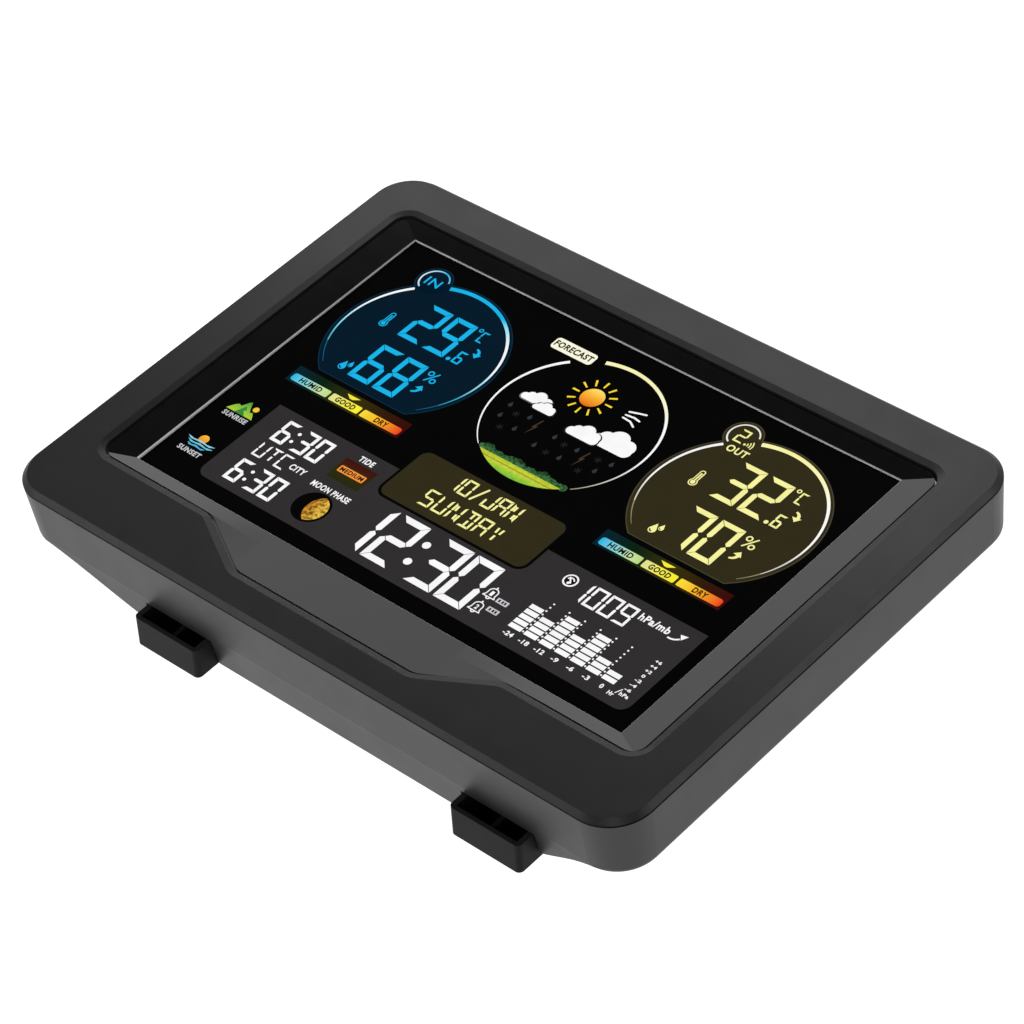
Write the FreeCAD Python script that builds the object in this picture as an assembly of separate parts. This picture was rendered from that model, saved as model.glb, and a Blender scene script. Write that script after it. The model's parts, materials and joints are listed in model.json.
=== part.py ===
import FreeCAD, Part
import os
from math import cos, pi, sin

from FreeCAD import Vector

# Home weather station: a table or wall display lying on its back.
# Millimetres. X runs across the face, Y towards its top edge, Z out of the face.
# The origin is under the middle of the whole outline, on the plane of the back.

# ---- driving dimensions ----
BODY_W = 200.0            # across the front frame
BODY_H = 142.8            # bottom edge to top edge of the front frame
TOE = 4.6                 # how far the stand legs reach past the bottom edge
CORNER_R = 11.5           # corner radius of the front frame
Z_FACE = 27.4             # front face
CHAMFER = 1.4             # chamfer round the front frame
Z_RIM = Z_FACE - CHAMFER  # widest level of the outline
GROOVE = 0.4              # shadow gap between frame and rear case
Z_BACK = 9.2              # rear wall of the shallow part
WALL = 2.0                # wall of the rear case
DRAFT = 0.9               # how far the side walls lean in at the back
BACK_FILLET = 2.2

Y_BOT = TOE - (BODY_H + TOE) / 2
Y_TOP = Y_BOT + BODY_H

# the opening in the frame, with a wider stretch at the bottom middle
OPEN_HALF_W = BODY_W / 2 - 12.6
OPEN_TOP = Y_TOP - 13.2
OPEN_BOT = Y_BOT + 20.45
DIP_BOT = Y_BOT + 10.3
DIP_HALF_TOP = 47.8
DIP_HALF_BOT = 29.0
OPEN_R = 4.5
DIP_R = 7.0
DIP_FLAT_X = 32.0         # the dip's floor rises evenly between these
DIP_FADE_X = 60.0         # and blends into the bezel's slope by here
SEAM = 0.7                # gap between frame and inner bezel
LEAD_W = 1.8              # shallow chamfer round the opening, across the face
LEAD_DEPTH = 0.4          # and its depth
FLANGE_W = 2.2            # the bezel's flange behind the frame
SKIRT_OUT = 2.3           # outer side of the frame's skirt, in from the outline
SKIRT_IN = 3.5
SKIRT_H = 4.0
NECK_INSET = 0.9          # the frame plate's side below its rim
FRAME_T = 1.8

# the display window and its stack of layers
WIN_HALF_W = 78.9
WIN_BOT = Y_BOT + 25.05
WIN_TOP = Y_BOT + 124.1
BEZEL_Z = Z_FACE - 0.9    # outer edge of the sloped bezel
BEVEL_Z = Z_FACE - 1.9    # inner edge of the sloped bezel
Z_LCD = Z_FACE - 2.5      # front of the display
LCD_T = 1.9
POLARISER_T = 0.2
LCD_MARGIN = 4.0
GUIDE_T = 2.2
TRAY_T = 0.5
PCB_T = 1.6
PCB_Z = 18.4              # rear side of the circuit board
PCB_HALF_W = 88.6
PCB_BOT = -50.0
PCB_TOP = 58.0

# the deeper part of the rear case
BULGE_X = (-96.0, -48.0, 61.0, 95.0)   # slope starts and ends along X
BULGE_RISE = 2.0                       # the slopes along X start this far above the rear wall
BULGE_TOP = (24.0, 38.0)               # slope at the upper end along Y
BULGE_XC = 5.75                        # middle line of the battery bay and the keys
BULGE_START = Z_BACK + BACK_FILLET + 0.2   # its lower side leaves the case wall here
BULGE_EDGE = DRAFT * (Z_RIM - GROOVE - BULGE_START) / (Z_RIM - GROOVE - Z_BACK) + 0.02
BULGE_INSET = 1.9

# stand legs
LEG_X = (-43.5, 60.5)
LEG_W = 21.5
LEG_Z0 = 0.7
LEG_Z1 = 8.8
LEG_HINGE_Y = Y_BOT + 62.0
LEG_HINGE_Z = (LEG_Z0 + LEG_Z1) / 2
LEG_WALL = 1.5
LEG_GAP = 0.5
LEG_PIN_R = 1.2
SOLE_SLANT = 0.9          # the sole's rear edge reaches lower by this much

# batteries: three AAA cells side by side
CELL_R = 5.25
CELL_L = 43.3
CELL_TIP = 1.2
CELL_PITCH = 11.2
CELL_Z = 8.4
BAY_HALF_W = 17.2
BAY_Y0 = -50.0
BAY_Y1 = -1.0
BAY_Z = 14.4
BAY_WALL = 1.5
DOOR_HALF_W = 20.0
DOOR_BOT = -56.0
DOOR_Z0 = 0.3
DOOR_T = 1.8
DOOR_GAP = 0.4
DOOR_HINGE_Y = 2.6
DOOR_HINGE_Z = 1.8
DOOR_HINGE_R = 1.5
DOOR_PIN_R = 1.0

# keys on the back
KEY_COUNT = 6
KEY_PITCH = 18.0
KEY_Y = 49.0
KEY_W = 12.0
KEY_H = 6.0
KEY_Z0 = 8.1
KEY_STRIP_DEPTH = 0.6
KEY_TRAVEL = 0.8

# antenna rod, in two cradles above the board
ROD_R = 3.2
ROD_Y = 65.0
ROD_Z = 16.0

# sounder
BUZZER_X = 77.0
BUZZER_Y = 47.0
BUZZER_R = 6.0
BUZZER_H = 4.8
SOUND_HOLE_PITCH = 3.2

# wall hanger
KEYHOLE_R = 4.25
KEYHOLE_Y = 12.0

# power inlet in the left side wall
JACK_Y = -20.0
JACK_Z = PCB_Z - 3.4

# screws
POST_X = 92.5
POST_Y = (-60.8, 66.4)
POST_R = 3.0
POST_END_Z = 14.5
PCB_POST_X = 86.4
PCB_POST_Y = (-44.0, 8.0, 54.0)
RUNNING = 0.06            # radial clearance of the hinge pins

UP = Vector(0, 0, 1)
ALONG_X = Vector(1, 0, 0)
ALONG_Y = Vector(0, 1, 0)


# ---- helpers ----
def box(x0, x1, y0, y1, z0, z1):
    """A box from its limits on the three axes."""
    return Part.makeBox(x1 - x0, y1 - y0, z1 - z0, Vector(x0, y0, z0))


def cylinder(r, height, x, y, z, axis=UP):
    """A cylinder from the middle of its first end."""
    return Part.makeCylinder(r, height, Vector(x, y, z), axis)


def rounded_outline(corners, z):
    """A closed wire through (x, y, radius) corners, each rounded by its radius."""
    starts = []
    edges = []
    count = len(corners)
    for i in range(count):
        before = Vector(corners[i - 1][0], corners[i - 1][1], z)
        here = Vector(corners[i][0], corners[i][1], z)
        after = Vector(corners[(i + 1) % count][0], corners[(i + 1) % count][1], z)
        radius = corners[i][2]
        d0 = (before - here).normalize()
        d1 = (after - here).normalize()
        half = d0.getAngle(d1) / 2
        reach = radius * cos(half) / sin(half)
        middle = (d0 + d1).normalize()
        centre = here + middle * (radius / sin(half))
        starts.append((here + d0 * reach, centre - middle * radius, here + d1 * reach))
    for i in range(count):
        first, mid, last = starts[i]
        edges.append(Part.Arc(first, mid, last).toShape())
        edges.append(Part.LineSegment(last, starts[(i + 1) % count][0]).toShape())
    return Part.Wire(edges)


def rectangle_outline(x0, x1, y0, y1, r, z):
    """A rectangle with rounded corners."""
    return rounded_outline([(x0, y0, r), (x1, y0, r), (x1, y1, r), (x0, y1, r)], z)


def plate(wire, height):
    """A straight prism on a closed wire."""
    return Part.Face(wire).extrude(Vector(0, 0, height))


def rounded_box(x0, x1, y0, y1, z0, z1, r):
    """A box with its four upright edges rounded."""
    return plate(rectangle_outline(x0, x1, y0, y1, r, z0), z1 - z0)


def body_outline(inset, z):
    """The outline of the whole body, moved inwards by inset."""
    half = BODY_W / 2 - inset
    return rectangle_outline(-half, half, Y_BOT + inset, Y_TOP - inset, CORNER_R - inset, z)


def tapered_body(inset0, z0, inset1, z1):
    """A solid between two outlines of the body."""
    return Part.makeLoft([body_outline(inset0, z0), body_outline(inset1, z1)], True, True)


def opening_outline(grow, z):
    """The outline of the frame's opening with its dip, moved outwards by grow."""
    side = OPEN_HALF_W + grow
    slope = (OPEN_BOT - DIP_BOT) / (DIP_HALF_TOP - DIP_HALF_BOT)
    shift = grow * ((1 + slope * slope) ** 0.5 - 1) / slope
    top = DIP_HALF_TOP + shift
    bottom = DIP_HALF_BOT + shift
    corner = OPEN_R + grow
    outer = DIP_R + grow
    inner = DIP_R - grow
    return rounded_outline(
        [(side, OPEN_TOP + grow, corner), (-side, OPEN_TOP + grow, corner),
         (-side, OPEN_BOT - grow, corner), (-top, OPEN_BOT - grow, inner),
         (-bottom, DIP_BOT - grow, outer), (bottom, DIP_BOT - grow, outer),
         (top, OPEN_BOT - grow, inner), (side, OPEN_BOT - grow, corner)], z)


def fuse(shapes):
    """One solid from several that touch or overlap."""
    return shapes[0].fuse(shapes[1:]).removeSplitter()


def slope_edge(p0, p1, bend, flat):
    """A smooth S-shaped edge from p0 to p1 that starts and ends along flat."""
    curve = Part.BezierCurve()
    curve.setPoles([p0, p0 + flat * bend, p1 - flat * bend, p1])
    return curve.toShape()


# ---- front of the housing ----
def make_outer_frame():
    """The matt front frame: chamfered plate, skirt and screw posts."""
    plate_z = Z_FACE - FRAME_T
    rim = tapered_body(0, Z_RIM, CHAMFER, Z_FACE)
    neck = tapered_body(NECK_INSET, plate_z, NECK_INSET, Z_RIM)
    skirt = tapered_body(SKIRT_OUT, plate_z - SKIRT_H, SKIRT_OUT, plate_z + 0.2)
    skirt = skirt.cut(tapered_body(SKIRT_IN, plate_z - SKIRT_H - 1, SKIRT_IN, plate_z + 1))
    posts = []
    for x in (-POST_X, POST_X):
        for y in POST_Y:
            posts.append(cylinder(POST_R, plate_z - POST_END_Z + 0.2, x, y, POST_END_Z))
    body = fuse([rim, neck, skirt] + posts)
    body = body.cut(plate(opening_outline(0, plate_z - 1), FRAME_T + 2))
    low = opening_outline(0, Z_FACE - LEAD_DEPTH)
    high = opening_outline(1.25 * LEAD_W, Z_FACE + 0.25 * LEAD_DEPTH)
    body = body.cut(Part.makeLoft([low, high], True, True))
    for x in (-POST_X, POST_X):
        for y in POST_Y:
            body = body.cut(cylinder(1.1, 8.0, x, y, POST_END_Z - 0.1))
    return body


def dip_space():
    """The space over the dip: its floor rises gently from the display and blends out at both ends."""
    rise = (BEZEL_Z - BEVEL_Z) / (WIN_BOT - DIP_BOT - SEAM)
    y_mid = OPEN_BOT + SEAM
    sections = []
    for x, share in ((-DIP_FADE_X, 0), (-DIP_FLAT_X, 1), (DIP_FLAT_X, 1), (DIP_FADE_X, 0)):
        z_mid = BEZEL_Z + share * (BEVEL_Z + rise * (WIN_BOT - y_mid) - BEZEL_Z)
        z_end = BEZEL_Z + share * rise * SEAM
        sections.append(Part.makePolygon([Vector(x, WIN_BOT, BEVEL_Z), Vector(x, y_mid, z_mid),
                                          Vector(x, DIP_BOT, z_end), Vector(x, DIP_BOT, Z_FACE + 1),
                                          Vector(x, WIN_BOT, Z_FACE + 1), Vector(x, WIN_BOT, BEVEL_Z)]))
    return Part.makeLoft(sections, True, True)


def make_inner_bezel():
    """The glossy bezel: four mitred slopes down to the display and a wide dip in the lower one."""
    top = plate(opening_outline(-SEAM, Z_LCD + 0.6), BEZEL_Z - Z_LCD - 0.6)
    flange = plate(opening_outline(FLANGE_W, Z_LCD), Z_FACE - FRAME_T - Z_LCD - 0.1)
    posts = []
    for x in (-PCB_POST_X, PCB_POST_X):
        for y in PCB_POST_Y:
            posts.append(cylinder(2.1, Z_LCD - PCB_Z - PCB_T + 0.1, x, y, PCB_Z + PCB_T))
    body = fuse([top, flange] + posts)
    low = Part.makePolygon([Vector(-WIN_HALF_W, WIN_BOT, BEVEL_Z), Vector(WIN_HALF_W, WIN_BOT, BEVEL_Z),
                            Vector(WIN_HALF_W, WIN_TOP, BEVEL_Z), Vector(-WIN_HALF_W, WIN_TOP, BEVEL_Z),
                            Vector(-WIN_HALF_W, WIN_BOT, BEVEL_Z)])
    side = OPEN_HALF_W - SEAM
    y0 = OPEN_BOT + SEAM
    y1 = OPEN_TOP - SEAM
    high = Part.makePolygon([Vector(-side, y0, BEZEL_Z), Vector(side, y0, BEZEL_Z),
                             Vector(side, y1, BEZEL_Z), Vector(-side, y1, BEZEL_Z), Vector(-side, y0, BEZEL_Z)])
    body = body.cut(Part.makeLoft([low, high], True, True)).cut(dip_space())
    window = box(-WIN_HALF_W, WIN_HALF_W, WIN_BOT, WIN_TOP, Z_LCD - 1, Z_FACE)
    body = body.cut(window)
    for x in (-PCB_POST_X, PCB_POST_X):
        for y in PCB_POST_Y:
            body = body.cut(cylinder(0.8, 4.5, x, y, PCB_Z + PCB_T - 0.1))
    return body


# ---- display stack ----
def make_polariser():
    """The thin dark front film of the display."""
    return box(-WIN_HALF_W - 2, WIN_HALF_W + 2, WIN_BOT - 2, WIN_TOP + 2, Z_LCD - POLARISER_T, Z_LCD)


def make_lcd_glass():
    """The glass cell of the display."""
    top = Z_LCD - POLARISER_T
    m = LCD_MARGIN
    return box(-WIN_HALF_W - m, WIN_HALF_W + m, WIN_BOT - m - 0.4, WIN_TOP + m, top - LCD_T, top)


def guide_top():
    """Front of the light guide."""
    return Z_LCD - POLARISER_T - LCD_T - 0.1


def make_light_guide():
    """The clear plate that spreads the backlight."""
    z = guide_top()
    return rounded_box(-WIN_HALF_W - 1, WIN_HALF_W + 1, WIN_BOT - 0.6, WIN_TOP + 1, z - GUIDE_T, z, 1.0)


def make_backlight_tray():
    """The white tray under the light guide, with a low rim round it."""
    z0 = PCB_Z + PCB_T
    outer = box(-WIN_HALF_W - 2.5, WIN_HALF_W + 2.5, WIN_BOT - 0.9, WIN_TOP + 2.5, z0, guide_top() - 0.4)
    inner = box(-WIN_HALF_W - 1.3, WIN_HALF_W + 1.3, WIN_BOT - 0.7, WIN_TOP + 1.3, z0 + TRAY_T, guide_top())
    return outer.cut(inner)


def make_backlight_leds():
    """Six side-firing LEDs on the board at the light guide's left end."""
    leds = []
    for i in range(6):
        y = WIN_BOT + 8 + i * 16.6
        leds.append(box(-WIN_HALF_W - 4.4, -WIN_HALF_W - 2.6, y - 1.6, y + 1.6, PCB_Z + PCB_T, PCB_Z + PCB_T + 1.2))
    return Part.makeCompound(leds)


def make_zebra_connector():
    """The rubber contact strip between the display's ledge and the board."""
    y0 = WIN_BOT - LCD_MARGIN
    return box(-74.0, 74.0, y0, y0 + 2.4, PCB_Z + PCB_T, Z_LCD - POLARISER_T - LCD_T)


# ---- electronics ----
def make_main_board():
    """The circuit board, screwed to the bezel's posts."""
    board = rounded_box(-PCB_HALF_W, PCB_HALF_W, PCB_BOT, PCB_TOP, PCB_Z, PCB_Z + PCB_T, 1.5)
    for x in (-PCB_POST_X, PCB_POST_X):
        for y in PCB_POST_Y:
            board = board.cut(cylinder(1.1, PCB_T + 2, x, y, PCB_Z - 1))
    return board


def hang(x, y, dx, dy, height):
    """A box-shaped component on the rear side of the board."""
    return box(x - dx / 2, x + dx / 2, y - dy / 2, y + dy / 2, PCB_Z - height, PCB_Z)


def make_controller_chip():
    """The controller with its two rows of leads."""
    body = hang(-8.0, 22.0, 14.0, 14.0, 1.6)
    leads = []
    for i in range(12):
        offset = -6.05 + i * 1.1
        leads.append(hang(-8.0 + offset, 22.0, 0.5, 17.0, 0.5))
        leads.append(hang(-8.0, 22.0 + offset, 17.0, 0.5, 0.5))
    return fuse([body] + leads)


def make_crystal():
    """The clock crystal: a small metal can lying on the board."""
    can = cylinder(1.2, 7.0, 8.0, 18.0, PCB_Z - 1.2, ALONG_Y)
    return fuse([can, hang(8.0, 21.5, 1.6, 6.0, 0.6)])


def make_capacitors():
    """Three electrolytic capacitors standing on the rear side."""
    cans = []
    for x, y in ((22.0, 24.0), (30.0, 24.0), (-62.0, 6.0)):
        cans.append(fuse([cylinder(2.9, 4.6, x, y, PCB_Z - 5.2), hang(x, y, 6.4, 6.4, 0.7)]))
    return Part.makeCompound(cans)


def make_small_components():
    """Chip resistors and capacitors near the controller."""
    parts = []
    for i in range(8):
        parts.append(hang(-20.0 + i * 3.4, 34.0, 1.6, 0.8, 0.5))
        parts.append(hang(-24.0, 12.0 + i * 2.6, 0.8, 1.6, 0.5))
    return Part.makeCompound(parts)


def make_receiver_module():
    """The radio receiver's own small board with its shield can."""
    board = hang(48.0, 22.0, 16.0, 22.0, 1.0)
    can = box(42.0, 54.0, 14.0, 26.0, PCB_Z - 3.0, PCB_Z - 0.9)
    return fuse([board, can])


def make_ferrite_rod():
    """The ferrite rod of the time-signal antenna."""
    return cylinder(ROD_R, 56.0, -76.0, ROD_Y, ROD_Z, ALONG_X)


def make_antenna_coil():
    """The winding on the middle of the rod."""
    return cylinder(4.4, 20.0, -58.0, ROD_Y, ROD_Z, ALONG_X).cut(make_ferrite_rod())


def make_buzzer():
    """The alarm sounder, a disc with a small hole facing the rear."""
    body = cylinder(BUZZER_R, BUZZER_H, BUZZER_X, BUZZER_Y, PCB_Z - BUZZER_H)
    return body.cut(cylinder(1.0, 1.4, BUZZER_X, BUZZER_Y, PCB_Z - BUZZER_H - 0.1))


def make_humidity_sensor():
    """The indoor temperature and humidity sensor behind the vents."""
    body = hang(-72.0, 46.0, 8.0, 5.0, 3.0)
    return body.cut(box(-74.5, -69.5, 44.8, 47.2, PCB_Z - 3.1, PCB_Z - 2.4))


def make_pressure_sensor():
    """The barometric sensor."""
    body = hang(-60.0, 44.0, 3.6, 3.8, 1.2)
    return body.cut(cylinder(0.5, 0.5, -60.0, 44.0, PCB_Z - 1.25))


def make_touch_plate():
    """The copper pad of the touch key behind the dip, with its spring leg."""
    pad = box(-22.0, 22.0, DIP_BOT + 1.0, DIP_BOT + 7.0, Z_LCD - 0.4, Z_LCD)
    leg = box(-1.0, 1.0, DIP_BOT + 5.0, PCB_BOT + 1.4, Z_LCD - 0.8, Z_LCD - 0.4)
    foot = box(-1.0, 1.0, PCB_BOT + 0.4, PCB_BOT + 1.4, PCB_Z + PCB_T, Z_LCD - 0.4)
    return fuse([pad, leg, foot])


def key_x(i):
    """Middle of key i along the strip."""
    return BULGE_XC + (i - (KEY_COUNT - 1) / 2) * KEY_PITCH


def make_key_switches():
    """One tact switch under each key."""
    switches = []
    for i in range(KEY_COUNT):
        body = hang(key_x(i), KEY_Y, 6.0, 6.0, 3.3)
        stud = cylinder(1.7, 0.7, key_x(i), KEY_Y, PCB_Z - 3.9)
        switches.append(fuse([body, stud]))
    return Part.makeCompound(switches)


def make_power_jack():
    """The low-voltage power inlet in the left side wall."""
    body = box(-97.0, -85.0, JACK_Y - 4.5, JACK_Y + 4.5, PCB_Z - 6.8, PCB_Z)
    hole = cylinder(2.75, 9.0, -98.0, JACK_Y, JACK_Z, ALONG_X)
    pin = cylinder(0.65, 8.5, -96.5, JACK_Y, JACK_Z, ALONG_X)
    return fuse([body.cut(hole), pin])


# ---- rear case ----
def bulge_section(t):
    """Cross-section of the deep part along X, t inside its surface."""
    top = Z_BACK + 5.0
    x0, x1, x2, x3 = BULGE_X
    points = [Vector(x0 + t, 0, Z_BACK + BULGE_RISE + t), Vector(x1 + t / 2, 0, t), Vector(x2 - t / 2, 0, t),
              Vector(x3 - t, 0, Z_BACK + BULGE_RISE + t)]
    edges = [slope_edge(points[0], points[1], (x1 - x0) * 0.3, ALONG_X),
             Part.LineSegment(points[1], points[2]).toShape(),
             slope_edge(points[2], points[3], (x3 - x2) * 0.4, ALONG_X),
             Part.LineSegment(points[3], Vector(x3 - t, 0, top)).toShape(),
             Part.LineSegment(Vector(x3 - t, 0, top), Vector(x0 + t, 0, top)).toShape(),
             Part.LineSegment(Vector(x0 + t, 0, top), points[0]).toShape()]
    wire = Part.Wire(edges)
    wire.translate(Vector(0, Y_BOT - 5, 0))
    return Part.Face(wire).extrude(Vector(0, BODY_H, 0))


def bulge_profile(t):
    """Side view of the deep part along Y, t inside its surface."""
    top = BULGE_START + t
    y_high = Y_BOT + BULGE_EDGE + t
    y_low = Y_BOT + BULGE_INSET + t
    r = 1.5 - t / 2
    y2, y3 = BULGE_TOP
    corner_up = Vector(0, y_low - 0.1 * t, t + r)
    corner_in = Vector(0, y_low + r, t)
    corner_mid = Vector(0, y_low + r * (1 - sin(pi / 4)), t + r * (1 - cos(pi / 4)))
    end = Vector(0, y3 - t, Z_BACK + t)
    edges = [Part.LineSegment(Vector(0, y_high, top), corner_up).toShape(),
             Part.Arc(corner_up, corner_mid, corner_in).toShape(),
             Part.LineSegment(corner_in, Vector(0, y2 - t / 2, t)).toShape(),
             slope_edge(Vector(0, y2 - t / 2, t), end, (y3 - y2) * 0.45, ALONG_Y),
             Part.LineSegment(end, Vector(0, y3 - t, top)).toShape(),
             Part.LineSegment(Vector(0, y3 - t, top), Vector(0, y_high, top)).toShape()]
    wire = Part.Wire(edges)
    wire.translate(Vector(-BODY_W / 2, 0, 0))
    return Part.Face(wire).extrude(Vector(BODY_W, 0, 0))


def deep_part(t):
    """The deep part, t inside its surface and kept within the case's outline."""
    shape = bulge_section(t).common(bulge_profile(t))
    return shape.common(plate(body_outline(BULGE_EDGE + t, -1), BULGE_START + t + 1))


def make_case_shell():
    """The hollow shell: drafted walls, rounded rear edge and the deep part."""
    wall_top = Z_RIM - GROOVE
    outer = tapered_body(DRAFT, Z_BACK, 0, wall_top)
    rear_edges = [e for e in outer.Edges if e.BoundBox.ZMax < Z_BACK + 0.01]
    outer = outer.makeFillet(BACK_FILLET, rear_edges)
    outer = fuse([outer, deep_part(0)])
    hollow = tapered_body(DRAFT + WALL, Z_BACK + WALL, WALL, wall_top + 0.01)
    return outer.cut(hollow).cut(deep_part(WALL))


def leg_recess(x):
    """The pocket that a folded leg lies in."""
    half = LEG_W / 2 + LEG_GAP
    floor = Z_BACK
    reach = (LEG_Z1 - LEG_Z0) / 2 + LEG_GAP
    flat = box(x - half, x + half, Y_BOT - 2, LEG_HINGE_Y, -1, floor)
    end = box(x - half, x + half, LEG_HINGE_Y - 1, LEG_HINGE_Y + reach, -1, floor)
    return fuse([flat, end])


def leg_recess_shell(x):
    """The walls round a leg's pocket inside the case."""
    half = LEG_W / 2 + LEG_GAP + 1.6
    reach = (LEG_Z1 - LEG_Z0) / 2 + LEG_GAP + 1.6
    return box(x - half, x + half, Y_BOT + 2.4, LEG_HINGE_Y + reach, 1.0, Z_BACK + 1.6)


def battery_bay_shell():
    """The walls round the battery bay and the thick seat of its door."""
    w = BAY_HALF_W + BAY_WALL
    bay = box(BULGE_XC - w, BULGE_XC + w, BAY_Y0 - BAY_WALL, BAY_Y1 + BAY_WALL, 1.0, BAY_Z + BAY_WALL)
    seat = box(BULGE_XC - DOOR_HALF_W - 4, BULGE_XC + DOOR_HALF_W + 4, DOOR_BOT - 3, DOOR_HINGE_Y + 5, 1.0, 4.8)
    return fuse([bay, seat])


def battery_bay_space():
    """The bay, the door's seat, its hinge groove and its latch slot."""
    x = BULGE_XC
    half = DOOR_HALF_W + DOOR_GAP
    reach = DOOR_HINGE_R + DOOR_GAP
    bay = box(x - BAY_HALF_W, x + BAY_HALF_W, BAY_Y0, BAY_Y1, -1, BAY_Z)
    seat = box(x - half, x + half, DOOR_BOT - DOOR_GAP, DOOR_HINGE_Y, -1, DOOR_Z0 + DOOR_T + DOOR_GAP)
    groove = cylinder(reach, 2 * half, x - half, DOOR_HINGE_Y, DOOR_HINGE_Z, ALONG_X)
    mouth = box(x - half, x + half, DOOR_HINGE_Y - 1, DOOR_HINGE_Y + reach, -1, DOOR_HINGE_Z)
    sockets = cylinder(DOOR_PIN_R + RUNNING, 2 * half + 4.2, x - half - 2.1, DOOR_HINGE_Y, DOOR_HINGE_Z, ALONG_X)
    slot = box(x - 6.5, x + 6.5, DOOR_BOT - DOOR_GAP, DOOR_BOT + 1.8, 1, 6)
    notch = cylinder(7.0, 2.2, x, DOOR_BOT - 2.0, -1)
    return [bay, seat, groove, mouth, sockets, slot, notch]


def keyhole():
    """The wall hanger: a round entry with a narrow slot above it."""
    entry = cylinder(KEYHOLE_R, 4, 0, KEYHOLE_Y, -1)
    slot = box(-2.2, 2.2, KEYHOLE_Y, KEYHOLE_Y + 8.0, -1, 3)
    end = cylinder(2.2, 4, 0, KEYHOLE_Y + 8.0, -1)
    return [entry, slot, end]


def key_openings():
    """The sunk key strip and the holes of its keys."""
    half = KEY_PITCH * (KEY_COUNT - 1) / 2 + KEY_W / 2 + 5
    cuts = [rounded_box(BULGE_XC - half, BULGE_XC + half, KEY_Y - 6.5, KEY_Y + 6.5,
                        Z_BACK - 1, Z_BACK + KEY_STRIP_DEPTH, 3.0)]
    for i in range(KEY_COUNT):
        x = key_x(i)
        cuts.append(rounded_box(x - KEY_W / 2 - 0.3, x + KEY_W / 2 + 0.3, KEY_Y - KEY_H / 2 - 0.3,
                                KEY_Y + KEY_H / 2 + 0.3, Z_BACK - 1, Z_BACK + 3, 1.8))
    return cuts


def vents():
    """Slots for the sensors and holes for the sounder."""
    cuts = []
    for i in range(6):
        x = -81.0 + i * 3.6
        cuts.append(rounded_box(x - 0.8, x + 0.8, 40.0, 56.0, Z_BACK - 1, Z_BACK + 4, 0.79))
    for i in range(3):
        for j in range(3):
            x = BUZZER_X + (i - 1) * SOUND_HOLE_PITCH
            cuts.append(cylinder(0.8, 4, x, BUZZER_Y + (j - 1) * SOUND_HOLE_PITCH, Z_BACK - 1))
    return cuts


def make_rear_case():
    """The rear case with its bay, pockets, bosses and openings."""
    case = make_case_shell()
    added = [battery_bay_shell()]
    for x in LEG_X:
        added.append(leg_recess_shell(x))
    for x in (-POST_X, POST_X):
        for y in POST_Y:
            added.append(cylinder(4.4, POST_END_Z - 0.1 - Z_BACK - 1.2, x, y, Z_BACK + 1.2))
    for x in (-72.0, -26.0):
        added.append(box(x - 1.2, x + 1.2, ROD_Y - 4.5, ROD_Y + 4.5, Z_BACK + 1.0, ROD_Z))
    limits = fuse([tapered_body(DRAFT + 1.0, Z_BACK + 0.5, 1.0, Z_RIM - GROOVE), deep_part(0.6)])
    case = fuse([case] + [piece.common(limits) for piece in added])
    cuts = battery_bay_space() + keyhole() + key_openings() + vents()
    for x in LEG_X:
        cuts.append(leg_recess(x))
        length = LEG_W + 2 * LEG_GAP + 2.6
        cuts.append(cylinder(LEG_PIN_R + 0.001, length, x - length / 2, LEG_HINGE_Y, LEG_HINGE_Z, ALONG_X))
    for x in (-POST_X, POST_X):
        for y in POST_Y:
            cuts.append(cylinder(1.6, 10, x, y, Z_BACK))
            cuts.append(cylinder(3.1, 3.4, x, y, Z_BACK - 0.4))
    cuts.append(cylinder(3.4, 4, -101.0, JACK_Y, JACK_Z, ALONG_X))
    cuts.append(cylinder(ROD_R, 60.0, -78.0, ROD_Y, ROD_Z, ALONG_X))
    for cut in cuts:
        case = case.cut(cut)
    return case


# ---- moving parts ----
def make_leg(x):
    """A stand leg: a channel open towards the case, with cross ribs and a slanted sole."""
    half = LEG_W / 2
    r = (LEG_Z1 - LEG_Z0) / 2
    toe = Y_BOT - TOE
    side = Part.makePolygon([Vector(x - half, LEG_HINGE_Y, LEG_Z0), Vector(x - half, LEG_HINGE_Y, LEG_Z1),
                             Vector(x - half, toe + SOLE_SLANT, LEG_Z1), Vector(x - half, toe, LEG_Z0),
                             Vector(x - half, LEG_HINGE_Y, LEG_Z0)])
    bar = Part.Face(side).extrude(Vector(LEG_W, 0, 0))
    edges = [e for e in bar.Edges if abs(e.BoundBox.XLength) < 0.01 and e.BoundBox.YMax < toe + 2
             and e.BoundBox.ZLength > 1]
    bar = bar.makeFillet(1.4, edges)
    body = fuse([bar, cylinder(r, LEG_W, x - half, LEG_HINGE_Y, LEG_HINGE_Z, ALONG_X)])
    t = LEG_WALL
    pocket = box(x - half + t, x + half - t, toe + SOLE_SLANT + 1.2, LEG_HINGE_Y - 5.0, LEG_Z0 + t, LEG_Z1 + 1)
    body = body.cut(pocket)
    ribs = []
    for i in range(5):
        y = Y_BOT + 7.0 + i * 11.0
        ribs.append(box(x - half + 1, x + half - 1, y - 0.6, y + 0.6, LEG_Z0 + 1, LEG_Z1 - 0.8))
    ribs.append(box(x - 0.6, x + 0.6, toe + 2.0, LEG_HINGE_Y - 4.5, LEG_Z0 + 1, LEG_Z1 - 2.4))
    body = fuse([body] + ribs)
    length = LEG_W + 2
    return body.cut(cylinder(LEG_PIN_R + RUNNING, length, x - length / 2, LEG_HINGE_Y, LEG_HINGE_Z, ALONG_X))


def make_leg_pin(x):
    """The steel pin of a leg, held in the walls of its pocket."""
    length = LEG_W + 2 * LEG_GAP + 2.6
    return cylinder(LEG_PIN_R, length, x - length / 2, LEG_HINGE_Y, LEG_HINGE_Z, ALONG_X)


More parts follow.
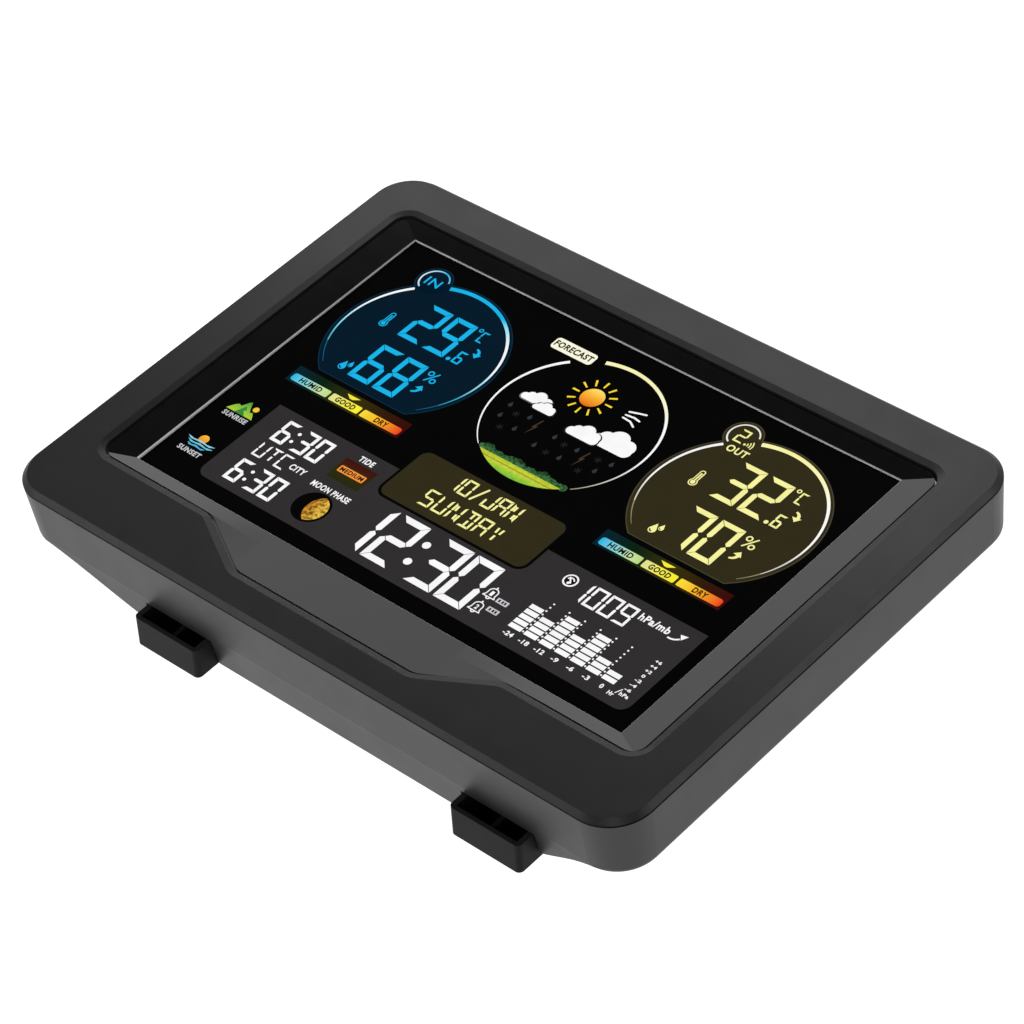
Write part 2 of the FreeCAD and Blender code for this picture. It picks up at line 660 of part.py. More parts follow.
def make_battery_door():
    """The battery door with its hinge roll, stub pins, latch tab and grip ribs."""
    x = BULGE_XC
    top = DOOR_Z0 + DOOR_T
    panel = box(x - DOOR_HALF_W, x + DOOR_HALF_W, DOOR_BOT, DOOR_HINGE_Y, DOOR_Z0, top)
    edges = [e for e in panel.Edges if e.BoundBox.ZLength > 1 and e.BoundBox.YMax < DOOR_BOT + 1]
    panel = panel.makeFillet(2.0, edges)
    roll = cylinder(DOOR_HINGE_R, 2 * DOOR_HALF_W, x - DOOR_HALF_W, DOOR_HINGE_Y, DOOR_HINGE_Z, ALONG_X)
    length = 2 * DOOR_HALF_W + 4.0
    pins = cylinder(DOOR_PIN_R, length, x - length / 2, DOOR_HINGE_Y, DOOR_HINGE_Z, ALONG_X)
    tab = box(x - 5.0, x + 5.0, DOOR_BOT, DOOR_BOT + 1.2, top - 0.5, top + 3.0)
    door = fuse([panel, roll, pins, tab])
    for i in range(4):
        y = DOOR_BOT + 4.0 + i * 2.2
        door = door.cut(box(x - 7.0, x + 7.0, y - 0.5, y + 0.5, DOOR_Z0 - 1, DOOR_Z0 + 0.5))
    return door


def make_key(i):
    """One key: a rounded cap with a flange that holds it in the case."""
    x = key_x(i)
    top = PCB_Z - 3.9 - 0.1 - KEY_TRAVEL
    seat = Z_BACK + WALL + 0.1
    cap = rounded_box(x - KEY_W / 2, x + KEY_W / 2, KEY_Y - KEY_H / 2, KEY_Y + KEY_H / 2, KEY_Z0, seat + 1, 1.5)
    rim = [e for e in cap.Edges if e.BoundBox.ZMax < KEY_Z0 + 0.01]
    cap = cap.makeFillet(0.6, rim)
    flange = rounded_box(x - KEY_W / 2 - 1.4, x + KEY_W / 2 + 1.4, KEY_Y - KEY_H / 2 - 1.4,
                         KEY_Y + KEY_H / 2 + 1.4, seat, seat + 1.2, 1.8)
    stem = cylinder(1.8, top - seat - 1, x, KEY_Y, seat + 1)
    return fuse([cap, flange, stem])


# ---- batteries and fasteners ----
def cell_x(i):
    """Middle of cell i."""
    return BULGE_XC + (i - 1) * CELL_PITCH


def make_cell(i):
    """An AAA cell; the middle one points the other way."""
    direction = 1 if i != 1 else -1
    x = cell_x(i)
    wall = BAY_Y1 if i != 1 else BAY_Y0
    start = wall - direction * (0.45 + CELL_L + CELL_TIP)
    axis = ALONG_Y * direction
    can = Part.makeCylinder(CELL_R, CELL_L, Vector(x, start, CELL_Z), axis)
    can = can.makeChamfer(0.5, [e for e in can.Edges if e.Curve.TypeId == "Part::GeomCircle"])
    tip = Part.makeCylinder(1.9, CELL_TIP + 0.5, Vector(x, start, CELL_Z) + axis * (CELL_L - 0.5), axis)
    return fuse([can, tip])


def make_contact_plates():
    """Flat contacts for the cells' tips."""
    plates = []
    for i in range(3):
        y = BAY_Y0 if i == 1 else BAY_Y1 - 0.4
        plates.append(box(cell_x(i) - 4.5, cell_x(i) + 4.5, y, y + 0.4, 3.6, 12.4))
    return Part.makeCompound(plates)


def make_contact_springs():
    """Conical contacts for the cells' flat ends, one pressed cone for each coil."""
    springs = []
    for i in range(3):
        sign = -1 if i == 1 else 1
        wall = BAY_Y1 if i == 1 else BAY_Y0
        back = Part.makeBox(9.0, 0.4, 8.8, Vector(cell_x(i) - 4.5, min(wall, wall + sign * 0.4), 3.6))
        rings = [back]
        for step in range(4):
            ring_y = wall + sign * (0.85 + step * 0.75)
            torus = Part.makeTorus(3.6 - step * 0.5, 0.5, Vector(cell_x(i), ring_y, CELL_Z), ALONG_Y)
            rings.append(torus)
        springs.append(fuse(rings))
    return Part.makeCompound(springs)


def make_case_screws():
    """Four screws that hold the rear case to the frame's posts."""
    screws = []
    for x in (-POST_X, POST_X):
        for y in POST_Y:
            head = cylinder(2.7, 1.8, x, y, Z_BACK + 1.2)
            shank = cylinder(1.1, 9.0, x, y, Z_BACK + 2.9)
            cross = fuse([box(x - 1.5, x + 1.5, y - 0.3, y + 0.3, Z_BACK, Z_BACK + 2.0),
                          box(x - 0.3, x + 0.3, y - 1.5, y + 1.5, Z_BACK, Z_BACK + 2.0)])
            screws.append(fuse([head, shank]).cut(cross))
    return Part.makeCompound(screws)


def make_board_screws():
    """Six small screws that hold the board to the bezel's posts."""
    screws = []
    for x in (-PCB_POST_X, PCB_POST_X):
        for y in PCB_POST_Y:
            screws.append(fuse([cylinder(1.9, 1.2, x, y, PCB_Z - 1.2), cylinder(0.8, 5.0, x, y, PCB_Z - 0.1)]))
    return Part.makeCompound(screws)


def all_nodes():
    """Every node of the weather station by name."""
    nodes = {
        "outer_frame": make_outer_frame(),
        "inner_bezel": make_inner_bezel(),
        "display_polariser": make_polariser(),
        "lcd_glass": make_lcd_glass(),
        "light_guide": make_light_guide(),
        "backlight_tray": make_backlight_tray(),
        "backlight_leds": make_backlight_leds(),
        "zebra_connector": make_zebra_connector(),
        "main_board": make_main_board(),
        "controller_chip": make_controller_chip(),
        "clock_crystal": make_crystal(),
        "capacitors": make_capacitors(),
        "small_components": make_small_components(),
        "receiver_module": make_receiver_module(),
        "ferrite_rod": make_ferrite_rod(),
        "antenna_coil": make_antenna_coil(),
        "buzzer": make_buzzer(),
        "humidity_sensor": make_humidity_sensor(),
        "pressure_sensor": make_pressure_sensor(),
        "touch_plate": make_touch_plate(),
        "key_switches": make_key_switches(),
        "power_jack": make_power_jack(),
        "rear_case": make_rear_case(),
        "battery_door": make_battery_door(),
        "contact_plates": make_contact_plates(),
        "contact_springs": make_contact_springs(),
        "case_screws": make_case_screws(),
        "board_screws": make_board_screws(),
    }
    for side, x in zip(("left", "right"), LEG_X):
        nodes[side + "_leg"] = make_leg(x)
        nodes[side + "_leg_pin"] = make_leg_pin(x)
    for i in range(3):
        nodes["battery_" + str(i + 1)] = make_cell(i)
    for i in range(KEY_COUNT):
        nodes["key_" + str(i + 1)] = make_key(i)
    return nodes


def main():
    os.makedirs("parts", exist_ok=True)
    for name, shape in all_nodes().items():
        bounds = shape.BoundBox
        print(name, shape.isValid(), len(shape.Solids), round(shape.Volume, 1),
              [round(v, 2) for v in (bounds.XMin, bounds.XMax, bounds.YMin, bounds.YMax, bounds.ZMin, bounds.ZMax)])
        shape.exportStep("parts/" + name + ".step")


main()
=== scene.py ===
import json
from math import atan2, cos, pi, radians, sin

import bpy
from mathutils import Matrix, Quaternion, Vector


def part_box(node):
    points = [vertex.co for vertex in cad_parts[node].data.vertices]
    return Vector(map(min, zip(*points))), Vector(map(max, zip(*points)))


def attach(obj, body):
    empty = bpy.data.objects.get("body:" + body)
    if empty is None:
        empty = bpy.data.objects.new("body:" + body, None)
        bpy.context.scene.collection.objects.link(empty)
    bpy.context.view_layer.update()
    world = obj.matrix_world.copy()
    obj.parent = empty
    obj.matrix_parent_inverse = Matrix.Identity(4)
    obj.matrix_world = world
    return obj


# Home weather station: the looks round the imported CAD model.
# Everything is in metres; the display's artwork is laid out in millimetres, x to the
# right and y down from the upper left corner of the display's window.

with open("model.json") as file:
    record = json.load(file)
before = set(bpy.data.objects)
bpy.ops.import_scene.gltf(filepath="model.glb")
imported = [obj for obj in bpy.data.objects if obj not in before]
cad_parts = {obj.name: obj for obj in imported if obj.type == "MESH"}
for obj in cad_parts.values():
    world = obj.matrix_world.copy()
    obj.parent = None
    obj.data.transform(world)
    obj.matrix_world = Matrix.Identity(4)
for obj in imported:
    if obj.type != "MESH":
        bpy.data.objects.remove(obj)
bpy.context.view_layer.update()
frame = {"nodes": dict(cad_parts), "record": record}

MM = 0.001
nodes = frame["nodes"]


# ---- the display window, from the CAD film behind it ----
FILM_OVERLAP = 2.0 * MM          # the film runs this far under the bezel on each side
film_low, film_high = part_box("display_polariser")
WINDOW_LEFT = film_low.x + FILM_OVERLAP
WINDOW_RIGHT = film_high.x - FILM_OVERLAP
WINDOW_TOP = film_high.y - FILM_OVERLAP
WINDOW_BOTTOM = film_low.y + FILM_OVERLAP
DISPLAY_Z = film_high.z
LAYER = 0.02 * MM                # thickness of one layer of artwork
SUNK = 0.01 * MM                 # how far the artwork reaches into the film


# ---- colours ----
def linear(r, g, b):
    """Linear colour from display values of 0 to 255."""
    out = []
    for value in (r, g, b):
        share = value / 255
        out.append(share / 12.92 if share <= 0.04045 else ((share + 0.055) / 1.055) ** 2.4)
    return out[0], out[1], out[2], 1.0


CYAN = linear(24, 181, 235)
PALE = linear(250, 246, 160)
WHITE = linear(252, 252, 252)
NAVY = linear(3, 26, 42)
OLIVE = linear(49, 44, 25)
GREY = linear(49, 46, 47)


# ---- material helpers ----
NOISE_LOW, NOISE_HIGH = 0.3, 0.7  # most of a noise texture's values lie between these
UNEVEN_PATCH = 9 * MM             # size of the uneven patches of a surface
UNEVEN_COLOUR = 0.12              # share by which its colour varies between them
UNEVEN_GLOSS = 0.06               # share by which its roughness varies
GRAIN_HEIGHT = 0.02 * MM


def new_material(name):
    """A material with its node tree and its main shader."""
    material = bpy.data.materials.new(name)
    material.use_nodes = True
    tree = material.node_tree
    return material, tree, tree.nodes["Principled BSDF"]


def add(tree, kind, **settings):
    """A node of that kind, with settings given by name."""
    made = tree.nodes.new(kind)
    for name, value in settings.items():
        setattr(made, name, value)
    return made


def noise(tree, size, detail=2.0, stretch=(1, 1, 1)):
    """Noise with features about size metres wide, fixed to the object."""
    coords = add(tree, "ShaderNodeTexCoord")
    mapping = add(tree, "ShaderNodeMapping")
    mapping.inputs["Scale"].default_value = stretch
    texture = add(tree, "ShaderNodeTexNoise")
    texture.inputs["Scale"].default_value = 1 / size
    texture.inputs["Detail"].default_value = detail
    tree.links.new(coords.outputs["Object"], mapping.inputs["Vector"])
    tree.links.new(mapping.outputs["Vector"], texture.inputs["Vector"])
    return texture


def ramp(tree, source, stops):
    """A colour ramp on a value, from (position, colour) stops."""
    made = add(tree, "ShaderNodeValToRGB")
    elements = made.color_ramp.elements
    elements[0].position = stops[0][0]
    elements[0].color = stops[0][1]
    elements[1].position = stops[-1][0]
    elements[1].color = stops[-1][1]
    for position, colour in stops[1:-1]:
        elements.new(position).color = colour
    tree.links.new(source, made.inputs["Fac"])
    return made


def spread(tree, source, low, high):
    """A value between low and high, from noise."""
    made = add(tree, "ShaderNodeMapRange")
    made.inputs["From Min"].default_value = NOISE_LOW
    made.inputs["From Max"].default_value = NOISE_HIGH
    made.inputs["To Min"].default_value = low
    made.inputs["To Max"].default_value = high
    tree.links.new(source, made.inputs["Value"])
    return made.outputs["Result"]


def grey_level(value):
    """A neutral colour."""
    return value, value, value, 1.0


def scaled(colour, share):
    """A colour made lighter or darker."""
    return colour[0] * share, colour[1] * share, colour[2] * share, 1.0


def surface(name, colour, roughness, grain=0.0, grain_size=0.3 * MM, specular=0.5, metallic=0.0,
            edge=0.0, stretch=(1, 1, 1)):
    """A moulded or drawn surface: fine grain, softened edges, and slightly uneven colour and gloss."""
    material, tree, shader = new_material(name)
    links = tree.links
    shader.inputs["Metallic"].default_value = metallic
    shader.inputs["Specular IOR Level"].default_value = specular
    patches = noise(tree, UNEVEN_PATCH, 3.0).outputs["Fac"]
    fine = noise(tree, grain_size, 2.0, stretch)
    stops = [(NOISE_LOW, scaled(colour, 1 - UNEVEN_COLOUR)), (NOISE_HIGH, scaled(colour, 1 + UNEVEN_COLOUR))]
    tint = ramp(tree, patches, stops)
    links.new(tint.outputs["Color"], shader.inputs["Base Color"])
    gloss = spread(tree, patches, roughness * (1 - UNEVEN_GLOSS), roughness * (1 + UNEVEN_GLOSS))
    links.new(gloss, shader.inputs["Roughness"])
    bump = add(tree, "ShaderNodeBump")
    bump.inputs["Strength"].default_value = grain
    bump.inputs["Distance"].default_value = GRAIN_HEIGHT
    links.new(fine.outputs["Fac"], bump.inputs["Height"])
    if edge:
        rounding = add(tree, "ShaderNodeBevel", samples=4)
        rounding.inputs["Radius"].default_value = edge
        links.new(rounding.outputs["Normal"], bump.inputs["Normal"])
    links.new(bump.outputs["Normal"], shader.inputs["Normal"])
    return material


def lit(name, stops, axis="X", start=0.0, end=1.0, patch=6 * MM, depth=0.06):
    """Glowing artwork: a colour ramp between two places, with the slight unevenness of a backlight."""
    material, tree, shader = new_material(name)
    links = tree.links
    coords = add(tree, "ShaderNodeTexCoord")
    split = add(tree, "ShaderNodeSeparateXYZ")
    links.new(coords.outputs["Object"], split.inputs["Vector"])
    along = add(tree, "ShaderNodeMapRange")
    along.inputs["From Min"].default_value = start
    along.inputs["From Max"].default_value = end
    links.new(split.outputs[axis], along.inputs["Value"])
    colours = ramp(tree, along.outputs["Result"], stops)
    glow = noise(tree, patch, 2.0)
    mix = add(tree, "ShaderNodeMix", data_type="RGBA", blend_type="MULTIPLY")
    mix.inputs["Factor"].default_value = 1.0
    shade = ramp(tree, glow.outputs["Fac"], [(0.35, grey_level(1 - depth)), (0.6, grey_level(1.0))])
    links.new(colours.outputs["Color"], mix.inputs["A"])
    links.new(shade.outputs["Color"], mix.inputs["B"])
    links.new(mix.outputs["Result"], shader.inputs["Emission Color"])
    shader.inputs["Emission Strength"].default_value = 1.0
    shader.inputs["Base Color"].default_value = (0.001, 0.001, 0.001, 1)
    shader.inputs["Specular IOR Level"].default_value = 0.0
    shader.inputs["Roughness"].default_value = 0.8
    return material


# ---- artwork: thin closed plates, collected by ink ----
LAYOUT_RIGHT = 0.55              # the layout's origin lies this far right of the window's corner
LAYOUT_UP = 0.25                 # and this far above it, in millimetres
LAYOUT_X_SCALE = 0.9966
LAYOUT_Y_SCALE = 0.998
inks = {}


def place(x, y):
    """A point of the layout, in metres in the frame."""
    from_left = LAYOUT_RIGHT + LAYOUT_X_SCALE * x
    from_top = LAYOUT_Y_SCALE * y - LAYOUT_UP
    return WINDOW_LEFT + from_left * MM, WINDOW_TOP - from_top * MM


def add_plate(store, points, z0, z1):
    """Adds a closed plate through points given in metres to a store of vertices and faces."""
    area = 0.0
    for (x0, y0), (x1, y1) in zip(points, points[1:] + points[:1]):
        area += x0 * y1 - x1 * y0
    if area < 0:
        points = points[::-1]
    verts, faces = store
    first = len(verts)
    count = len(points)
    verts.extend((x, y, z0) for x, y in points)
    verts.extend((x, y, z1) for x, y in points)
    faces.append([first + i for i in reversed(range(count))])
    faces.append([first + count + i for i in range(count)])
    for i in range(count):
        j = (i + 1) % count
        faces.append([first + i, first + j, first + count + j, first + count + i])


def make_piece(name, store, material, body):
    """A piece from stored vertices and faces that rides on a body of the part."""
    mesh = bpy.data.meshes.new(name)
    mesh.from_pydata(store[0], [], store[1])
    mesh.update()
    mesh.materials.append(material)
    piece = bpy.data.objects.new(name, mesh)
    bpy.context.scene.collection.objects.link(piece)
    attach(piece, body)


def polygon(ink, points, layer=3):
    """A plate through layout points, one or more layers high."""
    store = inks.setdefault(ink, ([], []))
    add_plate(store, [place(x, y) for x, y in points], DISPLAY_Z - SUNK, DISPLAY_Z + layer * LAYER)


def arc(x, y, r, start, end, steps):
    """Points on an arc of the layout; angles in degrees, anticlockwise from the right."""
    out = []
    for i in range(steps + 1):
        a = radians(start + (end - start) * i / steps)
        out.append((x + r * cos(a), y - r * sin(a)))
    return out


def disc(ink, x, y, r, layer=3, steps=40):
    """A round plate."""
    polygon(ink, arc(x, y, r, 0, 360 * (steps - 1) / steps, steps - 1), layer)


def rounded(ink, x0, y0, x1, y1, radii, layer=3):
    """A rectangle with its own radius at the upper left, upper right, lower right and lower left."""
    r0, r1, r2, r3 = radii
    points = arc(x0 + r0, y0 + r0, r0, 180, 90, 6) + arc(x1 - r1, y0 + r1, r1, 90, 0, 6)
    points += arc(x1 - r2, y1 - r2, r2, 0, -90, 6) + arc(x0 + r3, y1 - r3, r3, -90, -180, 6)
    polygon(ink, points, layer)


def band(ink, x, y, r, start, end, width0, width1, layer=3, steps=60):
    """A curved band whose width goes from width0 to width1."""
    outer = []
    inner = []
    for i in range(steps + 1):
        t = i / steps
        a = radians(start + (end - start) * t)
        half = (width0 + (width1 - width0) * t) / 2
        outer.append((x + (r + half) * cos(a), y - (r + half) * sin(a)))
        inner.append((x + (r - half) * cos(a), y - (r - half) * sin(a)))
    polygon(ink, outer + inner[::-1], layer)


def stroke(ink, points, width, layer=3):
    """Straight strokes with round joins."""
    for (x0, y0), (x1, y1) in zip(points, points[1:]):
        a = atan2(y1 - y0, x1 - x0)
        dx = width / 2 * sin(a)
        dy = -width / 2 * cos(a)
        polygon(ink, [(x0 + dx, y0 + dy), (x1 + dx, y1 + dy), (x1 - dx, y1 - dy), (x0 - dx, y0 - dy)], layer)
    for x, y in points:
        disc(ink, x, y, width / 2, layer, 10)


def ring(ink, x, y, r, width, layer=3):
    """A closed ring in two halves."""
    band(ink, x, y, r, 0, 180, width, width, layer, 20)
    band(ink, x, y, r, 180, 360, width, width, layer, 20)


def words(ink, text, x, y, width, height, layer=3, weight=0.025):
    """A word in the built-in sans-serif face, fitted to a box round (x, y)."""
    curve = bpy.data.curves.new("word", "FONT")
    curve.body = text
    curve.offset = weight
    curve.space_character = 1.12
    curve.resolution_u = 3
    curve.extrude = 0.5
    holder = bpy.data.objects.new("word", curve)
    bpy.context.scene.collection.objects.link(holder)
    seen = holder.evaluated_get(bpy.context.evaluated_depsgraph_get())
    mesh = bpy.data.meshes.new_from_object(seen)
    xs = [v.co.x for v in mesh.vertices]
    ys = [v.co.y for v in mesh.vertices]
    x_scale = width * MM / (max(xs) - min(xs))
    y_scale = height * MM / (max(ys) - min(ys))
    x_mid = (max(xs) + min(xs)) / 2
    y_mid = (max(ys) + min(ys)) / 2
    px, py = place(x, y)
    top = DISPLAY_Z + layer * LAYER
    verts, faces = inks.setdefault(ink, ([], []))
    first = len(verts)
    for v in mesh.vertices:
        z = top if v.co.z > 0 else DISPLAY_Z - SUNK
        verts.append((px + (v.co.x - x_mid) * x_scale, py + (v.co.y - y_mid) * y_scale, z))
    for face in mesh.polygons:
        faces.append([first + i for i in face.vertices])
    bpy.data.objects.remove(holder)
    bpy.data.curves.remove(curve)
    bpy.data.meshes.remove(mesh)


# ---- segment digits ----
SEVEN = {"0": "abcdef", "1": "bc", "2": "abged", "3": "abgcd", "6": "afgedc", "7": "abc", "8": "abcdefg",
         "9": "abcdfg", "C": "afed"}
FOURTEEN = {"0": "abcdef", "1": "bc", "/": "", "J": "bcde", "A": "abcefgn", "N": "bcefhm",
            "S": "afgncd", "U": "bcdef", "D": "abcdil", "Y": "hjl", "T": "ail", "C": "adef"}


def outer_segments(x0, y0, x1, y1, t, g):
    """The six segments round a character, t thick, with mitred ends that leave gaps of about g."""
    ym = (y0 + y1) / 2
    h = t / 2
    return {
        "a": [(x0 + g, y0), (x1 - g, y0), (x1 - t - g, y0 + t), (x0 + t + g, y0 + t)],
        "b": [(x1, y0 + g), (x1, ym - h), (x1 - h, ym - g), (x1 - t, ym - h - g), (x1 - t, y0 + t + g)],
        "c": [(x1, y1 - g), (x1 - t, y1 - t - g), (x1 - t, ym + h + g), (x1 - h, ym + g), (x1, ym + h)],
        "d": [(x0 + g, y1), (x0 + t + g, y1 - t), (x1 - t - g, y1 - t), (x1 - g, y1)],
        "e": [(x0, y1 - g), (x0, ym + h), (x0 + h, ym + g), (x0 + t, ym + h + g), (x0 + t, y1 - t - g)],
        "f": [(x0, y0 + g), (x0 + t, y0 + t + g), (x0 + t, ym - h - g), (x0 + h, ym - g), (x0, ym - h)],
    }


def seven(ink, text, x, y, width, height, thick, pitch):
    """Seven-segment digits, from the upper left corner of the first."""
    half = thick / 2
    gap = thick * 0.07
    for index, char in enumerate(text):
        left = x + index * pitch
        right = left + width
        foot = y + height
        middle = (y + foot) / 2
        parts = outer_segments(left, y, right, foot, thick, gap)
        parts["g"] = [(left + half + gap, middle), (left + thick + gap, middle - half),
                      (right - thick - gap, middle - half), (right - half - gap, middle),
                      (right - thick - gap, middle + half), (left + thick + gap, middle + half)]
        for name in SEVEN[char]:
            polygon(ink, parts[name])


def fourteen(ink, text, x, y, width, height, thick, pitch, layer=3):
    """Fourteen-segment letters, from the upper left corner of the first."""
    t = thick
    h = t / 2
    g = t * 0.15
    for index, char in enumerate(text):
        x0 = x + index * pitch
        x1 = x0 + width
        y1 = y + height
        xm = (x0 + x1) / 2
        ym = (y + y1) / 2
        top = y + t + g
        foot = y1 - t - g
        above = ym - h - g
        below = ym + h + g
        parts = outer_segments(x0, y, x1, y1, t, g)
        parts |= {
            "g": [(x0 + h + g, ym), (x0 + t + g, ym - h), (xm - g, ym - h), (xm - g, ym + h),
                  (x0 + t + g, ym + h)],
            "n": [(xm + g, ym - h), (x1 - t - g, ym - h), (x1 - h - g, ym), (x1 - t - g, ym + h),
                  (xm + g, ym + h)],
            "i": [(xm - h, top), (xm + h, top), (xm + h, above), (xm - h, above)],
            "l": [(xm - h, below), (xm + h, below), (xm + h, foot), (xm - h, foot)],
            "h": [(x0 + t + g, top), (x0 + 2 * t + g, top), (xm - h, above), (xm - h - t, above)],
            "m": [(xm + h, below), (xm + h + t, below), (x1 - t - g, foot), (x1 - 2 * t - g, foot)],
            "j": [(x1 - 2 * t - g, top), (x1 - t - g, top), (xm + h + t, above), (xm + h, above)],
        }
        for name in FOURTEEN[char]:
            polygon(ink, parts[name], layer)
        if char == "/":
            stroke(ink, [(x0 + t, y1 - h), (x1 - t, y + h)], t, layer)


# ---- icons ----
def thermometer(ink, x, y):
    """A thermometer in outline with a column and a bulb inside."""
    disc(ink, x, y + 1.6, 1.2)
    rounded(ink, x - 0.78, y - 2.9, x + 0.78, y + 1.6, (0.78, 0.78, 0.1, 0.1))
    rounded("dark_" + ink, x - 0.48, y - 2.6, x + 0.48, y + 1.0, (0.48, 0.48, 0.1, 0.1), 4)
    disc("dark_" + ink, x, y + 1.6, 0.9, 4)
    disc(ink, x, y + 1.6, 0.66, 5)
    rounded(ink, x - 0.2, y - 1.9, x + 0.2, y + 1.4, (0.2, 0.2, 0.1, 0.1), 5)
    for i in range(3):
        stroke(ink, [(x + 0.2, y - 1.7 + i * 0.7), (x + 0.5, y - 1.7 + i * 0.7)], 0.16, 5)


def drop(ink, x, y, r, layer=3):
    """A water drop with its tip up."""
    polygon(ink, [(x, y - 2.2 * r)] + arc(x, y, r, 30, -210, 16), layer)


def open_drop(ink, x, y, r):
    """A water drop with a dark glint inside."""
    drop(ink, x, y, r)
    band("dark_" + ink, x, y, r * 0.55, 180, 290, r * 0.35, r * 0.35, 4, 8)


def curved_arrow(ink, x, y, turn):
    """A short bent arrow; turn is 1 for down and -1 for up."""
    band(ink, x - 1.3, y + turn * 0.4, 1.7, turn * 85, turn * 5, 0.5, 0.95, 3, 12)
    polygon(ink, [(x - 1.1, y + turn * 0.4), (x + 1.4, y + turn * 0.1), (x + 0.3, y + turn * 1.7)])


def percent(ink, x, y):
    """A percent sign."""
    ring(ink, x - 1.05, y - 1.0, 0.7, 0.4)
    ring(ink, x + 1.05, y + 1.0, 0.7, 0.4)
    stroke(ink, [(x - 1.1, y + 1.8), (x + 1.1, y - 1.8)], 0.42)


def bell(ink, x, y, number):
    """An alarm bell's outline with its number."""
    left_foot = [(x - 1.75, y + 1.4), (x - 1.3, y + 0.7)]
    right_foot = [(x + 1.3, y + 0.7), (x + 1.75, y + 1.4)]
    stroke(ink, left_foot + arc(x, y - 0.2, 1.35, 160, 20, 10) + right_foot + left_foot[:1], 0.28)
    stroke(ink, [(x, y - 1.55), (x, y - 2.0)], 0.4)
    band(ink, x, y + 1.5, 0.5, 180, 360, 0.3, 0.3, 3, 8)
    words(ink, number, x, y + 0.1, 0.8, 1.5)


def cloud(ink, x, y, width, height, layer):
    """A cloud: a flat foot with three round heads."""
    r = height * 0.26
    rounded(ink, x, y + height - 2 * r, x + width, y + height, (r, r, r, r), layer)
    disc(ink, x + width * 0.28, y + height * 0.55, height * 0.30, layer)
    disc(ink, x + width * 0.52, y + height * 0.42, height * 0.42, layer)
    disc(ink, x + width * 0.8, y + height * 0.56, height * 0.34, layer)


def lightning(ink, x, y):
    """A narrow lightning bolt."""
    polygon(ink, [(x + 0.3, y - 2.9), (x - 0.5, y + 0.3), (x + 0.1, y + 0.2), (x - 0.5, y + 2.9),
                  (x + 0.8, y - 0.6), (x + 0.1, y - 0.5), (x + 0.7, y - 2.9)])


# ---- parts of the layout ----
OUT_SHIFT = 102.4                # from the inner reading's scale to the outer one's
GAUGE_Y = 30.7
GAUGE_R = 24.4
GAUGE_FOOT = 50.2                # where a gauge's disc is cut off
RING_R = 23.1
BADGE_X = 14.0                   # from the gauge's middle to its badge
BADGE_Y = 9.3
FORECAST_R = 22.9
BAR_SPANS = {"dim": (9.0, 47.6), "humid": (9.9, 22.5), "good": (23.3, 33.2), "dry": (34.0, 46.9)}
# width, height and thickness of the digits of each size, and the pitch between two of them
GAUGE_DIGITS = (7.05, 13.5, 1.45, 8.45)
SMALL_TIME_DIGITS = (4.1, 7.8, 0.92, 5.0)
CLOCK_DIGITS = (8.5, 16.0, 1.8, 9.7)


def gauge(x, fill, ink, first, second, hue):
    """One of the two round readings: temperature above humidity."""
    middle = x - 0.25
    below = GAUGE_FOOT - GAUGE_Y
    foot_angle = atan2(below, (GAUGE_R ** 2 - below ** 2) ** 0.5) * 180 / pi
    for r, shade, layer in ((GAUGE_R, "rim_" + fill, 1), (GAUGE_R - 0.3, fill, 2)):
        polygon(shade, arc(middle, GAUGE_Y, r, -foot_angle, 180 + foot_angle, 72), layer)
        disc(shade, x - BADGE_X, BADGE_Y, r - GAUGE_R + 5.1, layer)
    band("arc_left_" + hue, middle, GAUGE_Y, RING_R, 134, 206, 0.85, 0.3)
    band("arc_right_" + hue, middle, GAUGE_Y, RING_R, 111, -32, 1.3, 0.3)
    band("dim_" + ink, middle, GAUGE_Y, RING_R, 206, 226, 0.3, 0.12)
    band("dim_" + ink, middle, GAUGE_Y, RING_R, -32, -46, 0.3, 0.12)
    band("badge_" + hue, x - BADGE_X, BADGE_Y, 4.0, 240, 20, 0.45, 0.4, 3, 40)
    seven(ink, first, x - 7.75, 16.0, *GAUGE_DIGITS)
    seven(ink, second, x - 7.75, 34.0, *GAUGE_DIGITS)
    disc(ink, x + 9.3, 28.9, 0.6)
    seven(ink, "6", x + 10.4, 24.9, 2.4, 4.5, 0.55, 3.0)
    ring(ink, x + 9.2, 16.5, 0.5, 0.32)
    seven(ink, "C", x + 10.3, 16.3, 2.0, 4.0, 0.46, 3.0)
    curved_arrow(ink, x + 14.3, 23.6, 1)
    percent(ink, x + 10.9, 36.4)
    curved_arrow(ink, x + 10.9, 41.6, -1)
    thermometer(ink, x - 13.7, 26.7)
    open_drop(ink, x - 11.0, 46.0, 1.05)
    open_drop(ink, x - 9.4, 44.6, 0.68)


def comfort_bar(x, mark):
    """The humid, good and dry scale with its pointer."""
    left, right = BAR_SPANS["dim"]
    polygon("bar_dim" + mark, [(x + left, 51.7), (x + right, 51.7), (x + right, 57.5), (x + left, 57.5)], 1)
    for name, r0, r1 in (("humid", 0.8, 0.4), ("good", 0.4, 0.4), ("dry", 0.4, 0.8)):
        left, right = BAR_SPANS[name]
        rounded("bar_" + name + mark, x + left, 54.3, x + right, 56.8, (r0, r1, r1, r0))
    polygon("pointer", [(x + 26.2, 52.5), (x + 30.6, 52.5), (x + 28.9, 53.6), (x + 27.9, 53.6)])
    for text, centre, width in (("HUMID", 16.3, 7.4), ("GOOD", 28.3, 6.4), ("DRY", 40.6, 4.2)):
        words("print", text, x + centre, 55.55, width, 1.75, 4, 0.035)


